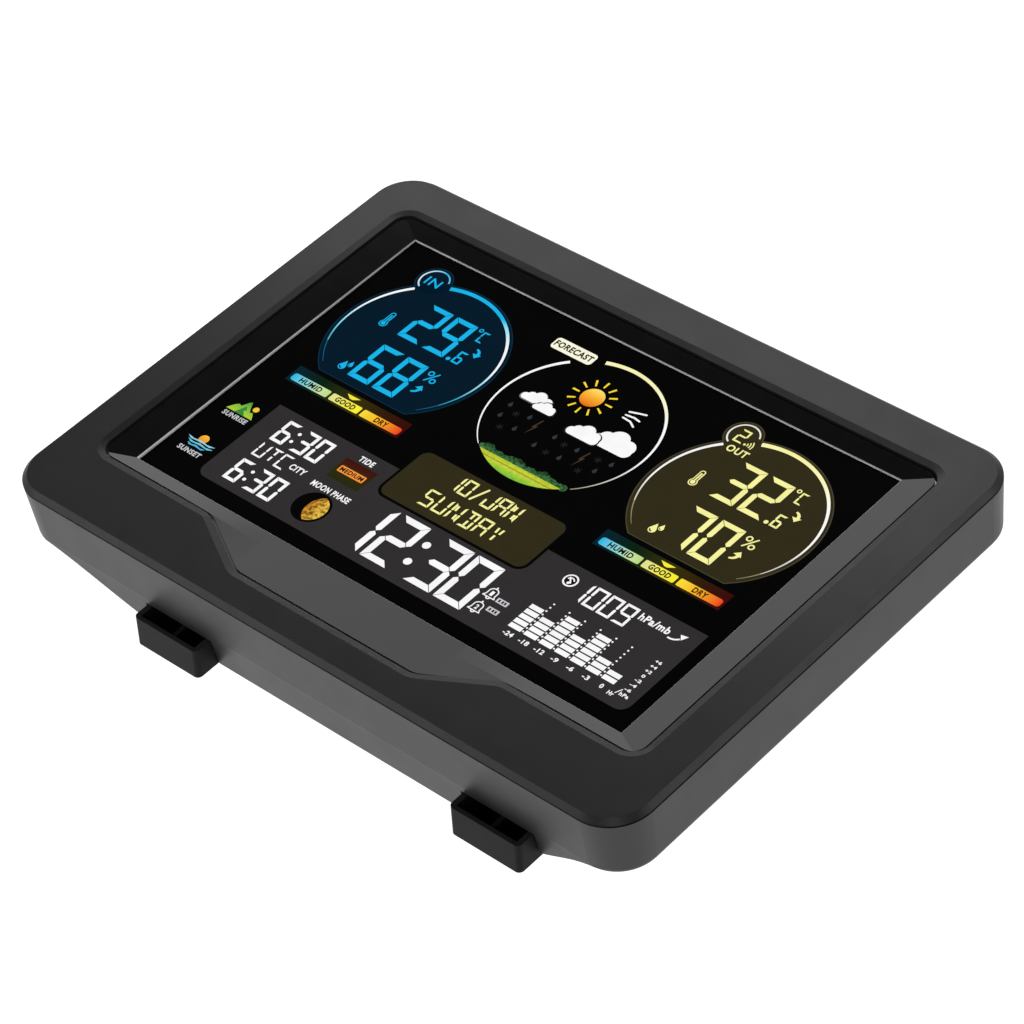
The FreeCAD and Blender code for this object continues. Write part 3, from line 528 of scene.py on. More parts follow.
def forecast():
    """The middle picture: sun, clouds, dim rain and a meadow inside a ring."""
    x, y = 79.85, 29.5
    rounded("pill", 55.8, 7.2, 69.0, 11.2, (1.0, 1.0, 1.0, 1.0))
    words("print", "FORECAST", 62.4, 9.2, 12.1, 2.1, 4, 0.035)
    band("ink_white", x, y, FORECAST_R, 133, 231, 0.85, 0.2)
    band("arc_pale_middle", x, y, FORECAST_R, 110.5, -49, 1.2, 0.2)
    sun_x, sun_y = 77.6, 19.5
    disc("sun", sun_x, sun_y, 3.2)
    for i in range(12):
        a = radians(30 * i)
        polygon("sun_ray", [(sun_x + r * cos(a) - s * sin(a), sun_y + r * sin(a) + s * cos(a))
                            for r, s in ((4.2, -0.2), (6.3, -0.28), (6.3, 0.28), (4.2, 0.2))])
    for y0, lift in ((18.2, -1.4), (19.5, 0.0), (20.6, 1.2)):
        stroke("ink_white", [(88.5, y0), (91.0, y0 + lift * 0.4 - 0.3), (92.8, y0 + lift)], 0.5)
    cloud("cloud_grey", 61.9, 24.8, 9.8, 4.7, 3)
    cloud("cloud_white", 62.2, 24.9, 9.2, 4.3, 4)
    cloud("cloud_edge", 66.8, 26.7, 7.4, 4.1, 5)
    cloud("cloud_white", 67.3, 27.0, 6.5, 3.5, 6)
    cloud("cloud_white", 86.6, 24.4, 12.3, 7.2, 4)
    cloud("cloud_edge", 79.3, 27.0, 10.6, 5.8, 5)
    cloud("cloud_white", 79.8, 27.3, 9.7, 5.2, 6)
    for px, py in ((62.6, 32.8), (69.7, 33.6), (63.0, 37.0), (69.3, 38.7), (79.5, 35.4), (87.1, 35.8),
                   (97.4, 35.0), (77.2, 40.3), (85.3, 40.3), (95.5, 38.9)):
        drop("rain", px, py, 0.55)
    for px, py in ((66.0, 34.4), (65.8, 40.1), (83.2, 36.0), (93.6, 35.4), (81.3, 40.5), (92.0, 40.9)):
        for i in range(3):
            a = pi / 3 * i
            dx, dy = 0.9 * cos(a), 0.9 * sin(a)
            stroke("snow", [(px - dx, py - dy), (px + dx, py + dy)], 0.22)
    lightning("bolt", 72.8, 35.4)
    lightning("bolt", 89.9, 37.5)
    polygon("meadow", arc(x, y, FORECAST_R - 0.15, -125.3, -54.7, 30))
    for i in range(24):
        share = i / 23
        rise = max(sin(pi * (share * 5.8 + 0.1)), 0.0)
        disc("bush", 66.6 + 26.6 * share, 47.5 - 0.9 * rise, 0.75 + 0.18 * (i % 3), 2, 14)
    polygon("bush", [(65.9, 47.0), (93.8, 47.0), (92.2, 48.4), (67.5, 48.4)], 2)


def date_box():
    """The date in two lines of letters."""
    rounded("gap", 56.0, 55.6, 104.4, 74.5, (3.2, 3.2, 3.2, 3.2), 3)
    rounded("olive", 56.8, 56.4, 103.6, 73.7, (2.5, 2.5, 2.5, 2.5), 4)
    fourteen("ink_pale", "10/JAN", 69.2, 57.9, 3.15, 5.4, 0.6, 3.74, 5)
    fourteen("ink_pale", "SUNDAY", 67.4, 65.6, 3.5, 5.6, 0.6, 4.34, 5)


def left_readings():
    """Sunrise and sunset times, tide and moon."""
    for y in (67.7, 83.9):
        seven("ink_white", "6", 21.5, y, *SMALL_TIME_DIGITS)
        disc("ink_white", 26.9, y + 2.4, 0.5)
        disc("ink_white", 26.9, y + 5.4, 0.5)
        seven("ink_white", "30", 28.3, y, *SMALL_TIME_DIGITS)
    fourteen("ink_white", "UTC", 21.6, 76.9, 3.1, 5.0, 0.52, 3.75)
    words("ink_white", "CITY", 35.5, 79.4, 5.0, 2.0)
    words("ink_white", "TIDE", 47.6, 67.7, 4.7, 1.8)
    polygon("tide", [(42.4, 69.4), (52.9, 69.4), (52.9, 76.7), (42.4, 76.7)])
    rounded("tide_pill", 43.4, 71.9, 51.8, 74.1, (0.3, 0.3, 0.3, 0.3), 4)
    words("print", "MEDIUM", 47.6, 73.0, 7.4, 1.4, 5, 0.035)
    words("ink_white", "MOON PHASE", 47.7, 80.4, 12.4, 1.9)
    disc("gap", 47.6, 86.9, 5.1)
    polygon("moon", arc(47.6, 86.9, 4.4, 78, -78, 20) + arc(51.3, 86.9, 5.1, 238, 122, 14), 4)
    polygon("hills", [(4.3, 73.3), (5.5, 71.3), (6.3, 70.6), (7.2, 70.9), (8.2, 69.0), (8.8, 68.4),
                      (9.4, 69.4), (10.2, 70.8), (10.9, 71.6), (11.5, 71.2), (12.2, 72.0), (13.1, 73.3)])
    polygon("hills_dark", [(7.2, 73.3), (8.6, 70.2), (9.6, 71.4), (9.0, 71.9), (10.4, 73.3)], 4)
    disc("sun_small", 11.4, 69.9, 0.85)
    words("ink_grey", "SUNRISE", 8.7, 74.7, 8.0, 1.6)
    disc("sun_small", 8.25, 84.9, 1.4)
    for i, half in enumerate((4.6, 4.2, 3.0)):
        y = 86.0 + i * 0.95
        x = 8.3 + 0.5 * (i % 2)
        crest = [(x - half, y - 0.35), (x - half / 2, y - 0.05), (x, y - 0.4), (x + half / 2, y - 0.05),
                 (x + half, y - 0.35)]
        polygon("wave", crest + [(x + half * 0.7, y + 0.35), (x, y + 0.1), (x - half * 0.7, y + 0.35)], 4)
    words("ink_grey", "SUNSET", 8.2, 89.9, 7.6, 1.6)


def clock():
    """The large time with its two alarms."""
    for text, x in (("1", 58.5), ("2", 68.4), ("30", 82.6)):
        seven("ink_white", text, x, 75.8, *CLOCK_DIGITS)
    disc("ink_white", 79.7, 80.5, 1.1)
    disc("ink_white", 79.7, 87.0, 1.1)
    for y, number in ((83.3, "1"), (88.5, "2")):
        bell("ink_white", 103.5, y, number)
    for y in (84.2, 87.5):
        rounded("ink_grey", 105.8, y - 0.75, 109.2, y + 0.75, (0.2, 0.2, 0.2, 0.2))
        for x in (106.6, 107.6, 108.4):
            left, right, top, bottom = x - 0.25, x + 0.25, y - 0.4, y + 0.4
            polygon("print", [(left, top), (right, top), (right, bottom), (left, bottom)], 4)


def pressure():
    """Air pressure now and over the past day."""
    disc("ink_white", 115.7, 69.7, 2.0)
    disc("print", 115.7, 69.7, 1.55, 4)
    band("ink_white", 115.7, 69.9, 1.0, 160, 20, 0.35, 0.35, 5, 12)
    stroke("ink_white", [(115.0, 68.9), (116.2, 70.4)], 0.4, 5)
    disc("ink_white", 115.7, 70.6, 0.4, 5, 12)
    seven("ink_white", "1009", 118.2, 67.5, 3.8, 6.6, 0.68, 4.5)
    words("ink_white", "hPa/mb", 141.1, 69.0, 9.0, 2.3)
    band("ink_white", 146.6, 67.6, 3.0, -100, -40, 0.45, 0.45, 3, 10)
    polygon("ink_white", [(148.2, 68.3), (150.2, 67.9), (149.3, 69.7)])
    start = 115.4                # the first bar's middle
    pitch = 4.78
    half = 1.88
    foot = 88.9
    cell = 1.78                  # from one block of a bar to the next
    space = 0.42
    bars = ((5, "-24"), (4, "-18"), (6, "-12"), (4, "-9"), (6, "-6"), (3, "-3"), (2, "0"))
    for i, (count, hours) in enumerate(bars):
        x = start + i * pitch
        for j in range(count):
            y = foot - j * cell
            top = y - cell + space
            polygon("ink_white", [(x - half, top), (x + half, top), (x + half, y), (x - half, y)])
        words("ink_white", hours, x, 90.8, len(hours) - 0.1, 1.4)
    for i in range(6):
        for j in range(9):
            disc("ink_white", start + (i + 0.5) * pitch, 77.7 + j * 1.33, 0.26, 3, 8)
    for i, text in enumerate(("+6", "+4", "+2", "0", "-2", "-4", "-6")):
        words("ink_white", text, 149.8, 77.8 + i * 1.75, 0.9 * len(text), 0.95)
    words("ink_white", "Hr", 147.2, 91.3, 1.7, 1.2)
    stroke("ink_white", [(147.9, 90.6), (148.7, 88.9)], 0.22)
    words("ink_white", "hPa", 150.2, 90.1, 2.6, 1.1)


def draw_display():
    """The whole layout, as thin plates on the film."""
    gauge(28.7, "navy", "ink_cyan", "29", "68", "cyan")
    words("ink_cyan", "IN", 14.8, 9.7, 4.5, 2.9, 3, 0.01)
    gauge(131.0, "olive", "ink_pale", "32", "70", "pale")
    seven("ink_pale", "2", 115.4, 7.2, 2.8, 4.6, 0.5, 3.0)
    disc("ink_pale", 119.0, 11.4, 0.35)
    for r in (0.9, 1.6, 2.3):
        band("ink_pale", 118.9, 11.3, r, 45, -20, 0.3, 0.3, 3, 6)
    words("ink_pale", "OUT", 119.2, 14.2, 6.2, 2.3)
    comfort_bar(0.0, "")
    comfort_bar(OUT_SHIFT, "_out")
    forecast()
    rounded("grey", 15.0, 65.0, 153.6, 94.3, (0.1, 0.1, 2.9, 2.9), 1)
    date_box()
    left_readings()
    clock()
    pressure()


def across(x0, x1):
    """Start and end of a ramp along X, in metres."""
    return {"axis": "X", "start": place(x0, 0)[0], "end": place(x1, 0)[0]}


def down(y0, y1):
    """Start and end of a ramp from y0 down to y1."""
    return {"axis": "Y", "start": place(0, y1)[1], "end": place(0, y0)[1]}


# ---- looks of the artwork ----
# inks of one colour
FLAT_INKS = {
    "ink_cyan": CYAN,
    "ink_pale": PALE,
    "ink_white": WHITE,
    "ink_grey": linear(200, 200, 205),
    "dark_ink_cyan": NAVY,
    "dark_ink_pale": OLIVE,
    "dim_ink_cyan": linear(20, 100, 140),
    "dim_ink_pale": linear(150, 148, 105),
    "navy": NAVY,
    "olive": OLIVE,
    "rim_navy": linear(8, 46, 70),
    "rim_olive": linear(72, 68, 48),
    "grey": GREY,
    "gap": linear(3, 3, 3),
    "print": linear(22, 20, 12),
    "pill": linear(251, 250, 224),
    "badge_pale": linear(235, 235, 225),
    "pointer": linear(250, 236, 60),
    "sun_ray": linear(255, 222, 50),
    "cloud_grey": linear(120, 120, 125),
    "cloud_edge": linear(30, 30, 34),
    "cloud_white": WHITE,
    "rain": linear(50, 54, 60),
    "snow": linear(34, 33, 35),
    "bolt": linear(66, 54, 38),
    "tide_pill": linear(248, 150, 60),
    "hills_dark": linear(46, 140, 60),
}

# inks with colours along a ramp, and where the ramp runs
SHADED_INKS = {
    "arc_left_cyan": (
        [(0.0, linear(40, 150, 180)), (0.3, linear(120, 215, 235)), (0.7, WHITE), (1.0, WHITE)],
        down(14.0, 44.0)),
    "arc_right_cyan": (
        [(0.0, linear(20, 110, 140)), (0.2, linear(60, 180, 205)), (0.4, linear(180, 228, 242)),
         (0.5, WHITE), (0.72, WHITE), (0.86, linear(150, 225, 245)), (0.91, CYAN), (1.0, CYAN)],
        down(7.0, 46.0)),
    "arc_left_pale": (
        [(0.0, linear(190, 186, 160)), (0.4, WHITE), (1.0, WHITE)],
        down(14.0, 44.0)),
    "arc_right_pale": (
        [(0.0, linear(170, 166, 150)), (0.4, WHITE), (0.72, WHITE), (0.86, linear(250, 248, 205)),
         (1.0, PALE)],
        down(7.0, 46.0)),
    "arc_pale_middle": (
        [(0.0, linear(170, 166, 150)), (0.4, WHITE), (0.72, WHITE), (0.86, linear(250, 248, 215)),
         (1.0, linear(248, 245, 178))],
        down(6.5, 46.0)),
    "badge_cyan": (
        [(0.0, linear(225, 238, 242)), (0.35, linear(150, 220, 238)), (0.6, CYAN),
         (1.0, linear(130, 190, 205))],
        across(10.7, 18.8)),
    "sun": (
        [(0.0, linear(236, 110, 22)), (0.55, linear(250, 180, 50)), (1.0, linear(255, 226, 110))],
        down(16.3, 22.7)),
    "sun_small": ([(0.0, linear(240, 130, 20)), (1.0, linear(250, 200, 60))], down(83.3, 86.3)),
    "meadow": (
        [(0.0, linear(110, 195, 60)), (0.35, linear(165, 210, 60)), (0.62, linear(205, 218, 70)),
         (0.7, linear(150, 150, 30)), (0.78, linear(205, 215, 60)), (1.0, linear(190, 205, 50))],
        down(48.2, 52.3) | {"patch": 1.0 * MM, "depth": 0.2}),
    "bush": (
        [(0.0, linear(80, 140, 90)), (1.0, linear(44, 84, 40))],
        down(46.0, 48.6) | {"patch": 0.6 * MM, "depth": 0.75}),
    "tide": (
        [(0.0, linear(36, 44, 14)), (0.45, linear(52, 40, 12)), (1.0, linear(66, 14, 14))],
        down(69.4, 76.7)),
    "moon": (
        [(0.0, linear(200, 120, 30)), (1.0, linear(246, 205, 80))],
        across(45.5, 52.0) | {"patch": 0.9 * MM, "depth": 0.8}),
    "hills": ([(0.0, linear(170, 205, 60)), (1.0, linear(40, 150, 70))], down(68.0, 73.0)),
    "wave": ([(0.0, linear(40, 170, 210)), (1.0, linear(150, 220, 235))], down(85.5, 88.5)),
}

# the parts of the comfort scales, each with colours from its left end to its right end
BAR_COLOURS = {
    "dim": [(0.0, linear(5, 36, 48)), (0.25, linear(8, 34, 16)), (0.55, linear(52, 48, 10)),
            (0.8, linear(50, 24, 8)), (1.0, linear(60, 8, 8))],
    "humid": [(0.0, linear(24, 182, 232)), (0.4, linear(140, 215, 215)), (0.75, linear(205, 228, 170)),
              (1.0, linear(190, 222, 130))],
    "good": [(0.0, linear(225, 228, 150)), (0.45, linear(246, 236, 90)), (1.0, linear(252, 240, 40))],
    "dry": [(0.0, linear(250, 225, 60)), (0.35, linear(251, 190, 40)), (0.7, linear(246, 140, 36)),
            (1.0, linear(236, 60, 30))],
}


def ink_looks():
    """Colour stops and the ramp's run, for every ink."""
    looks = dict(SHADED_INKS)
    for ink, colour in FLAT_INKS.items():
        looks[ink] = ([(0.0, colour), (1.0, colour)], {})
    for mark, shift in (("", 0.0), ("_out", OUT_SHIFT)):
        for name, stops in BAR_COLOURS.items():
            left, right = BAR_SPANS[name]
            looks["bar_" + name + mark] = (stops, across(left + shift, right + shift))
    return looks


def make_artwork():
    """One piece for each ink, riding on the housing."""
    draw_display()
    looks = ink_looks()
    for ink, store in inks.items():
        stops, run = looks[ink]
        make_piece("display_" + ink, store, lit("display_" + ink, stops, **run), "housing")


# ---- materials of the CAD nodes ----
def board_material():
    """Green solder mask with lighter traces."""
    material, tree, shader = new_material("circuit_board")
    coords = add(tree, "ShaderNodeTexCoord")
    traces = add(tree, "ShaderNodeTexBrick")
    traces.inputs["Scale"].default_value = 1 / (6 * MM)
    traces.inputs["Mortar Size"].default_value = 0.03
    traces.inputs["Color1"].default_value = (0.012, 0.11, 0.045, 1)
    traces.inputs["Color2"].default_value = (0.014, 0.13, 0.05, 1)
    traces.inputs["Mortar"].default_value = (0.03, 0.22, 0.09, 1)
    tree.links.new(coords.outputs["Object"], traces.inputs["Vector"])
    tree.links.new(traces.outputs["Color"], shader.inputs["Base Color"])
    shader.inputs["Roughness"].default_value = 0.3
    return material


def battery_material():
    """A blue sleeve with a gold band at one end, and bare steel at both tips."""
    material, tree, shader = new_material("battery_wrap")
    coords = add(tree, "ShaderNodeTexCoord")
    split = add(tree, "ShaderNodeSeparateXYZ")
    tree.links.new(coords.outputs["Object"], split.inputs["Vector"])
    low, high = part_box("battery_1")
    along = add(tree, "ShaderNodeMapRange")
    along.inputs["From Min"].default_value = low.y
    along.inputs["From Max"].default_value = high.y
    tree.links.new(split.outputs["Y"], along.inputs["Value"])
    blue = (0.01, 0.05, 0.22, 1)
    steel = (0.5, 0.5, 0.5, 1)
    gold = (0.6, 0.36, 0.07, 1)
    bands = ramp(tree, along.outputs["Result"], [(0.0, steel), (0.03, blue), (0.68, gold), (0.95, steel)])
    bands.color_ramp.interpolation = "CONSTANT"
    tree.links.new(bands.outputs["Color"], shader.inputs["Base Color"])
    shader.inputs["Roughness"].default_value = 0.3
    shader.inputs["Metallic"].default_value = 0.4
    return material


def rubber_material():
    """Silicone with fine conducting stripes across it."""
    material, tree, shader = new_material("contact_rubber")
    coords = add(tree, "ShaderNodeTexCoord")
    wave = add(tree, "ShaderNodeTexWave")
    wave.inputs["Scale"].default_value = 1 / (3 * MM)
    tree.links.new(coords.outputs["Object"], wave.inputs["Vector"])
    stripes = ramp(tree, wave.outputs["Fac"], [(0.4, (0.02, 0.02, 0.02, 1)), (0.6, (0.6, 0.6, 0.57, 1))])
    tree.links.new(stripes.outputs["Color"], shader.inputs["Base Color"])
    shader.inputs["Roughness"].default_value = 0.6
    return material


def clear_material(name, colour, roughness):
    """Clear sheet with faint haze."""
    material = surface(name, colour, roughness)
    shader = material.node_tree.nodes["Principled BSDF"]
    shader.inputs["Transmission Weight"].default_value = 0.9
    shader.inputs["IOR"].default_value = 1.49
    return material


BLACK = (0.0085, 0.0085, 0.009, 1)

# for each slot: colour, roughness, strength of the grain, and other settings of surface()
SLOT_LOOKS = {
    "frame_plastic": (scaled(BLACK, 0.3), 0.42, 0.9,
                      {"grain_size": 0.32 * MM, "specular": 0.085, "edge": 0.15 * MM}),
    "bezel_plastic": ((0.003, 0.003, 0.0033, 1), 0.1, 0.06, {"grain_size": 0.5 * MM, "edge": 0.06 * MM}),
    "case_plastic": (BLACK, 0.45, 0.35, {"grain_size": 0.4 * MM, "specular": 0.42, "edge": 0.12 * MM}),
    "door_plastic": (BLACK, 0.38, 0.35, {"grain_size": 0.4 * MM, "edge": 0.12 * MM}),
    "leg_plastic": (scaled(BLACK, 0.4), 0.55, 0.35,
                    {"grain_size": 0.4 * MM, "specular": 0.12, "edge": 0.15 * MM}),
    "key_plastic": ((0.02, 0.02, 0.021, 1), 0.4, 0.3, {"grain_size": 0.4 * MM, "edge": 0.1 * MM}),
    "display_film": ((0.0008, 0.0008, 0.0009, 1), 0.35, 0.1, {"grain_size": 0.2 * MM, "specular": 0.004}),
    "white_plastic": ((0.8, 0.8, 0.79, 1), 0.5, 0.2, {}),
    "led_resin": ((0.85, 0.75, 0.25, 1), 0.25, 0.1, {}),
    "chip_resin": ((0.018, 0.018, 0.018, 1), 0.5, 0.5, {"grain_size": 0.2 * MM}),
    "steel_can": ((0.6, 0.6, 0.6, 1), 0.3, 0.2, {"grain_size": 0.2 * MM, "metallic": 1.0}),
    "aluminium_can": ((0.75, 0.75, 0.76, 1), 0.35, 0.2, {"grain_size": 0.2 * MM, "metallic": 1.0}),
    "receiver_shield": ((0.62, 0.62, 0.6, 1), 0.35, 0.3, {"grain_size": 0.5 * MM, "metallic": 1.0}),
    "ferrite": ((0.05, 0.05, 0.055, 1), 0.6, 0.8, {"grain_size": 0.25 * MM}),
    "copper_wire": ((0.6, 0.26, 0.1, 1), 0.35, 0.9, {"metallic": 0.8, "stretch": (1, 0.05, 0.05)}),
    "copper_foil": ((0.72, 0.38, 0.2, 1), 0.3, 0.3, {"metallic": 1.0}),
    "buzzer_plastic": ((0.02, 0.02, 0.02, 1), 0.5, 0.3, {}),
    "sensor_plastic": ((0.75, 0.75, 0.73, 1), 0.45, 0.2, {}),
    "switch_steel": ((0.55, 0.55, 0.57, 1), 0.35, 0.3, {"metallic": 1.0}),
    "jack_plastic": ((0.014, 0.014, 0.014, 1), 0.45, 0.3, {"edge": 0.1 * MM}),
    "contact_steel": ((0.68, 0.68, 0.66, 1), 0.28, 0.3, {"metallic": 1.0}),
    "screw_steel": ((0.3, 0.3, 0.31, 1), 0.35, 0.3, {"metallic": 1.0, "edge": 0.06 * MM}),
    "pin_steel": ((0.58, 0.58, 0.58, 1), 0.25, 0.4,
                  {"grain_size": 0.2 * MM, "metallic": 1.0, "stretch": (0.05, 1, 1)}),
}


def make_slot_materials():
    """One material for each slot of the record."""
    looks = {}
    for slot, (colour, roughness, grain, more) in SLOT_LOOKS.items():
        looks[slot] = surface(slot, colour, roughness, grain, **more)
    looks["display_glass"] = clear_material("display_glass", (0.6, 0.65, 0.65, 1), 0.05)
    looks["clear_acrylic"] = clear_material("clear_acrylic", (0.9, 0.92, 0.92, 1), 0.1)
    looks["contact_rubber"] = rubber_material()
    looks["circuit_board"] = board_material()
    looks["battery_wrap"] = battery_material()
    return looks


def dress_nodes():
    """Gives every CAD node the material of its slot in the record."""
    looks = make_slot_materials()
    for entry in frame["record"]["subparts"]:
        part = nodes[entry["node"]]
        look = looks[entry["material_slot"]]
        if not part.material_slots:
            part.data.materials.append(look)
        for holder in part.material_slots:
            holder.material = look


# ---- a pale strip round the edge of the display ----
def make_display_edge():
    """The cut edge of the display's window: a pale lip inside the bezel, wider at the lower left."""
    z0 = DISPLAY_Z - SUNK
    z1 = DISPLAY_Z + 0.5 * MM
    thin = 0.12 * MM
    wide = 0.6 * MM
    outer = [(WINDOW_LEFT, WINDOW_BOTTOM), (WINDOW_RIGHT, WINDOW_BOTTOM), (WINDOW_RIGHT, WINDOW_TOP),
             (WINDOW_LEFT, WINDOW_TOP)]
    inner = [(WINDOW_LEFT + wide, WINDOW_BOTTOM + thin), (WINDOW_RIGHT - thin, WINDOW_BOTTOM + thin),
             (WINDOW_RIGHT - thin, WINDOW_TOP - thin), (WINDOW_LEFT + thin, WINDOW_TOP - thin)]
    verts = []
    for outline in (outer, inner):
        for z in (z0, z1):
            verts += [(x, y, z) for x, y in outline]
    faces = []
    for i in range(4):
        j = (i + 1) % 4
        faces += [[i, j, 4 + j, 4 + i], [8 + j, 8 + i, 12 + i, 12 + j], [4 + i, 4 + j, 12 + j, 12 + i],
                  [j, i, 8 + i, 8 + j]]
    material = surface("display_edge", (0.3, 0.3, 0.3, 1), 0.4, 0.2)
    make_piece("display_edge", (verts, faces), material, "housing")


# ---- marks on the back ----
PRINT_DEPTH = 0.05 * MM          # how far a key's mark stands out and reaches in
# minus, plus, two arrow heads, disc and square, in millimetres from the key's middle
KEY_MARKS = (
    [(-1.6, -0.3), (1.6, -0.3), (1.6, 0.3), (-1.6, 0.3)],
    [(-1.6, -0.3), (-0.3, -0.3), (-0.3, -1.6), (0.3, -1.6), (0.3, -0.3), (1.6, -0.3), (1.6, 0.3), (0.3, 0.3),
     (0.3, 1.6), (-0.3, 1.6), (-0.3, 0.3), (-1.6, 0.3)],
    [(-1.5, -1.1), (1.5, -1.1), (0.0, 1.4)],
    [(-1.5, 1.1), (0.0, -1.4), (1.5, 1.1)],
    arc(0, 0, 1.3, 0, 337.5, 15),
    [(-1.4, -1.2), (1.4, -1.2), (1.4, 1.2), (-1.4, 1.2)],
)


def make_key_marks():
    """A pale plain sign printed on each key."""
    pale = surface("key_print", (0.55, 0.55, 0.55, 1), 0.5, 0.1)
    for index, outline in enumerate(KEY_MARKS):
        key = "key_" + str(index + 1)
        key_low, key_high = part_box(key)
        x = (key_low.x + key_high.x) / 2
        y = (key_low.y + key_high.y) / 2
        store = ([], [])
        points = [(x + dx * MM, y + dy * MM) for dx, dy in outline]
        add_plate(store, points, key_low.z - PRINT_DEPTH, key_low.z + PRINT_DEPTH)
        make_piece(key + "_mark", store, pale, key)


def make_label():
    """A rating label without lettering, on the back between the battery door and the right leg."""
    case_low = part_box("rear_case")[0]
    door_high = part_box("battery_door")[1]
    left = door_high.x + 2.5 * MM
    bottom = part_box("battery_door")[0].y + 8 * MM
    width = 18                   # this, the height and the corners' radius are in millimetres
    height = 38
    r = 1.2
    paper = surface("label_paper", (0.3, 0.3, 0.31, 1), 0.4, 0.1)
    print_grey = surface("label_print", (0.03, 0.03, 0.03, 1), 0.5, 0.1)
    corners = arc(r, r, r, 90, 180, 4) + arc(r, height - r, r, 180, 270, 4)
    corners += arc(width - r, height - r, r, 270, 360, 4) + arc(width - r, r, r, 0, 90, 4)
    points = [(left + x * MM, bottom + y * MM) for x, y in corners]
    store = ([], [])
    add_plate(store, points, case_low.z - 0.06 * MM, case_low.z + 0.02 * MM)
    make_piece("rating_label", store, paper, "housing")
    store = ([], [])
    x0 = left + 2.5 * MM
    for i, length in enumerate((12, 9, 13, 7, 11)):
        x1 = x0 + length * MM
        y0 = bottom + (6 + 5.5 * i) * MM
        y1 = y0 + 1.2 * MM
        outline = [(x0, y0), (x1, y0), (x1, y1), (x0, y1)]
        add_plate(store, outline, case_low.z - 0.1 * MM, case_low.z - 0.04 * MM)
    make_piece("rating_label_bars", store, print_grey, "housing")


# ---- floor, light and camera ----
FLOOR_Z = -0.07                  # below the part, to leave room for the open legs and door
FLOOR_HALF = 6.0
FLOOR_GREY = 0.2
FLOOR_GLOW = 0.95


def make_floor():
    """A plain white floor."""
    corners = [(-1, -1), (1, -1), (1, 1), (-1, 1)]
    mesh = bpy.data.meshes.new("floor")
    mesh.from_pydata([(x * FLOOR_HALF, y * FLOOR_HALF, FLOOR_Z) for x, y in corners], [], [(0, 1, 2, 3)])
    material, tree, shader = new_material("floor")
    patch = noise(tree, 400 * MM)
    stops = [(NOISE_LOW, grey_level(FLOOR_GREY - 0.01)), (NOISE_HIGH, grey_level(FLOOR_GREY + 0.01))]
    tint = ramp(tree, patch.outputs["Fac"], stops)
    tree.links.new(tint.outputs["Color"], shader.inputs["Base Color"])
    shader.inputs["Roughness"].default_value = 0.9
    shader.inputs["Specular IOR Level"].default_value = 0.1
    shader.inputs["Emission Color"].default_value = (1, 1, 1, 1)
    shader.inputs["Emission Strength"].default_value = FLOOR_GLOW
    mesh.materials.append(material)
    floor = bpy.data.objects.new("floor", mesh)
    bpy.context.scene.collection.objects.link(floor)


def make_world():
    """Soft studio surroundings: bright walls, darker overhead."""
    world = bpy.data.worlds.new("studio")
    bpy.context.scene.world = world
    world.use_nodes = True
    tree = world.node_tree
    coords = add(tree, "ShaderNodeTexCoord")
    split = add(tree, "ShaderNodeSeparateXYZ")
    tree.links.new(coords.outputs["Generated"], split.inputs["Vector"])
    wall = grey_level(0.8)
    upper_wall = grey_level(0.6)
    overhead = grey_level(0.01)
    stops = [(0.0, wall), (0.5, wall), (0.7, upper_wall), (0.75, overhead), (1.0, overhead)]
    walls = ramp(tree, split.outputs["Z"], stops)
    tree.links.new(walls.outputs["Color"], tree.nodes["Background"].inputs["Color"])
    tree.nodes["Background"].inputs["Strength"].default_value = 2.0


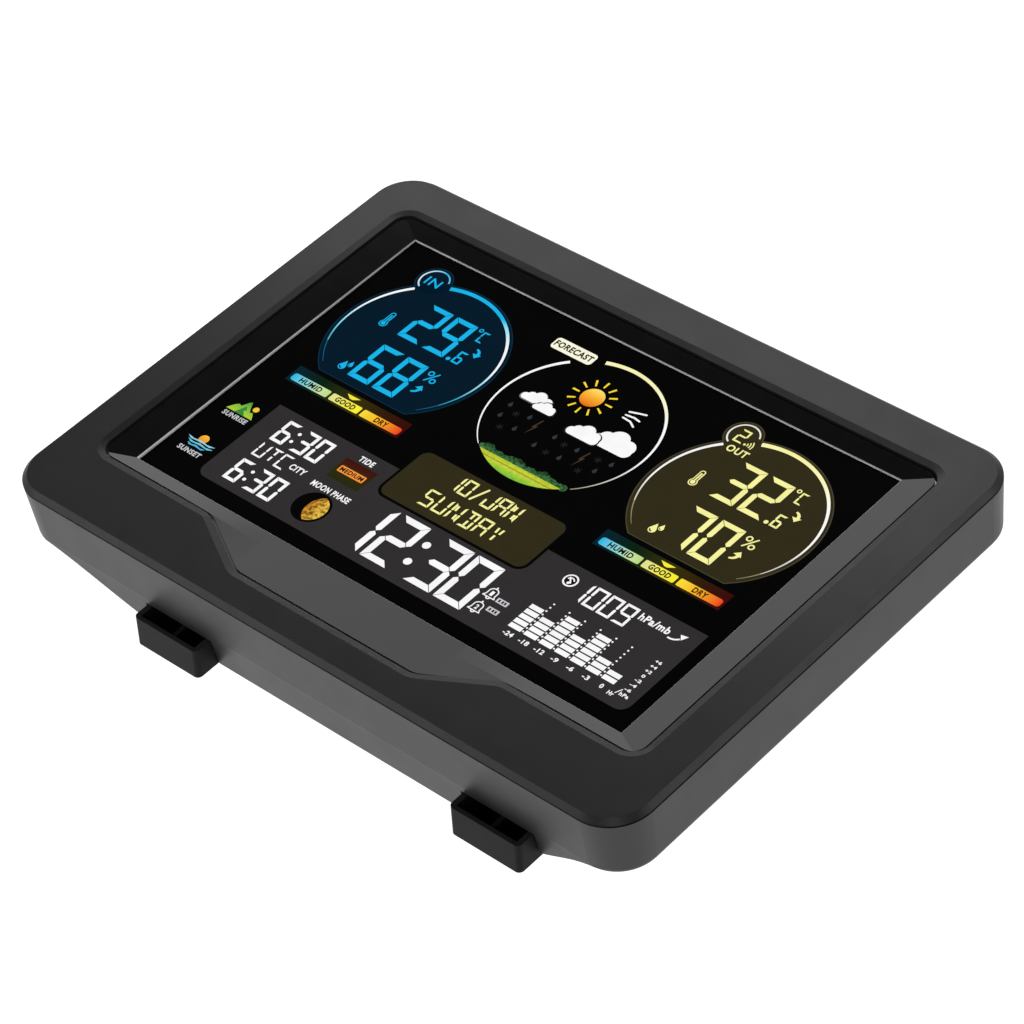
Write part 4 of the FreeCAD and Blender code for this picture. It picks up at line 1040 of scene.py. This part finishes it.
def make_light(name, location, width, height, radiance, target=(0, 0, 0), only=None):
    """A soft box that faces the target; with only given, it lights no other piece."""
    data = bpy.data.lights.new(name, "AREA")
    data.shape = "RECTANGLE"
    data.size = width
    data.size_y = height
    data.energy = radiance * pi * width * height
    lamp = bpy.data.objects.new(name, data)
    lamp.location = location
    lamp.rotation_mode = "QUATERNION"
    lamp.rotation_quaternion = (Vector(target) - Vector(location)).to_track_quat("-Z", "Y")
    bpy.context.scene.collection.objects.link(lamp)
    if only:
        group = bpy.data.collections.new(name)
        group.objects.link(only)
        lamp.light_linking.receiver_collection = group


def make_camera():
    """The camera, from the point it looks at, its side, height and distance, and how it is rolled."""
    target = Vector((0.78, 2.79, 13.7)) * MM
    azimuth = radians(49.51)
    elevation = radians(42.63)
    roll = radians(-10.16)
    distance = 938.5 * MM
    back = Vector((sin(azimuth) * cos(elevation), -cos(azimuth) * cos(elevation), sin(elevation)))
    data = bpy.data.cameras.new("camera")
    data.sensor_width = 36.0     # this and the lens are in millimetres
    data.lens = 138.15
    data.clip_start = 10 * MM
    camera = bpy.data.objects.new("camera", data)
    camera.location = target + back * distance
    camera.rotation_mode = "QUATERNION"
    camera.rotation_quaternion = (-back).to_track_quat("-Z", "Y") @ Quaternion((0, 0, 1), roll)
    bpy.context.scene.collection.objects.link(camera)
    bpy.context.scene.camera = camera


dress_nodes()
make_artwork()
make_key_marks()
make_label()
make_display_edge()

make_floor()
make_world()
# places and sizes of the soft boxes in metres, radiance in watts per square metre and steradian
outer_frame = nodes["outer_frame"]
make_light("back_softbox", (0.06, 0.27, 0.31), width=0.4, height=0.12, radiance=4.0)
make_light("front_softbox", (-0.45, -0.55, 0.4), width=0.4, height=0.4, radiance=9.0)
make_light("frame_softbox", (-0.15, 0.19, 0.19), width=0.35, height=0.07, radiance=11.0,
           target=(-0.15, 0.19, 0.0), only=outer_frame)
make_light("rim_softbox", (0.5, 0.29, 0.36), width=0.3, height=0.3, radiance=11.0, only=outer_frame)
make_light("corner_softbox", (0.57, -0.68, 0.95), width=0.5, height=0.5, radiance=10.0, only=outer_frame)
make_light("edge_softbox", (-0.45, -0.55, 0.4), width=0.4, height=0.4, radiance=12.0, only=outer_frame)
make_camera()
bpy.context.scene.view_settings.view_transform = "Standard"
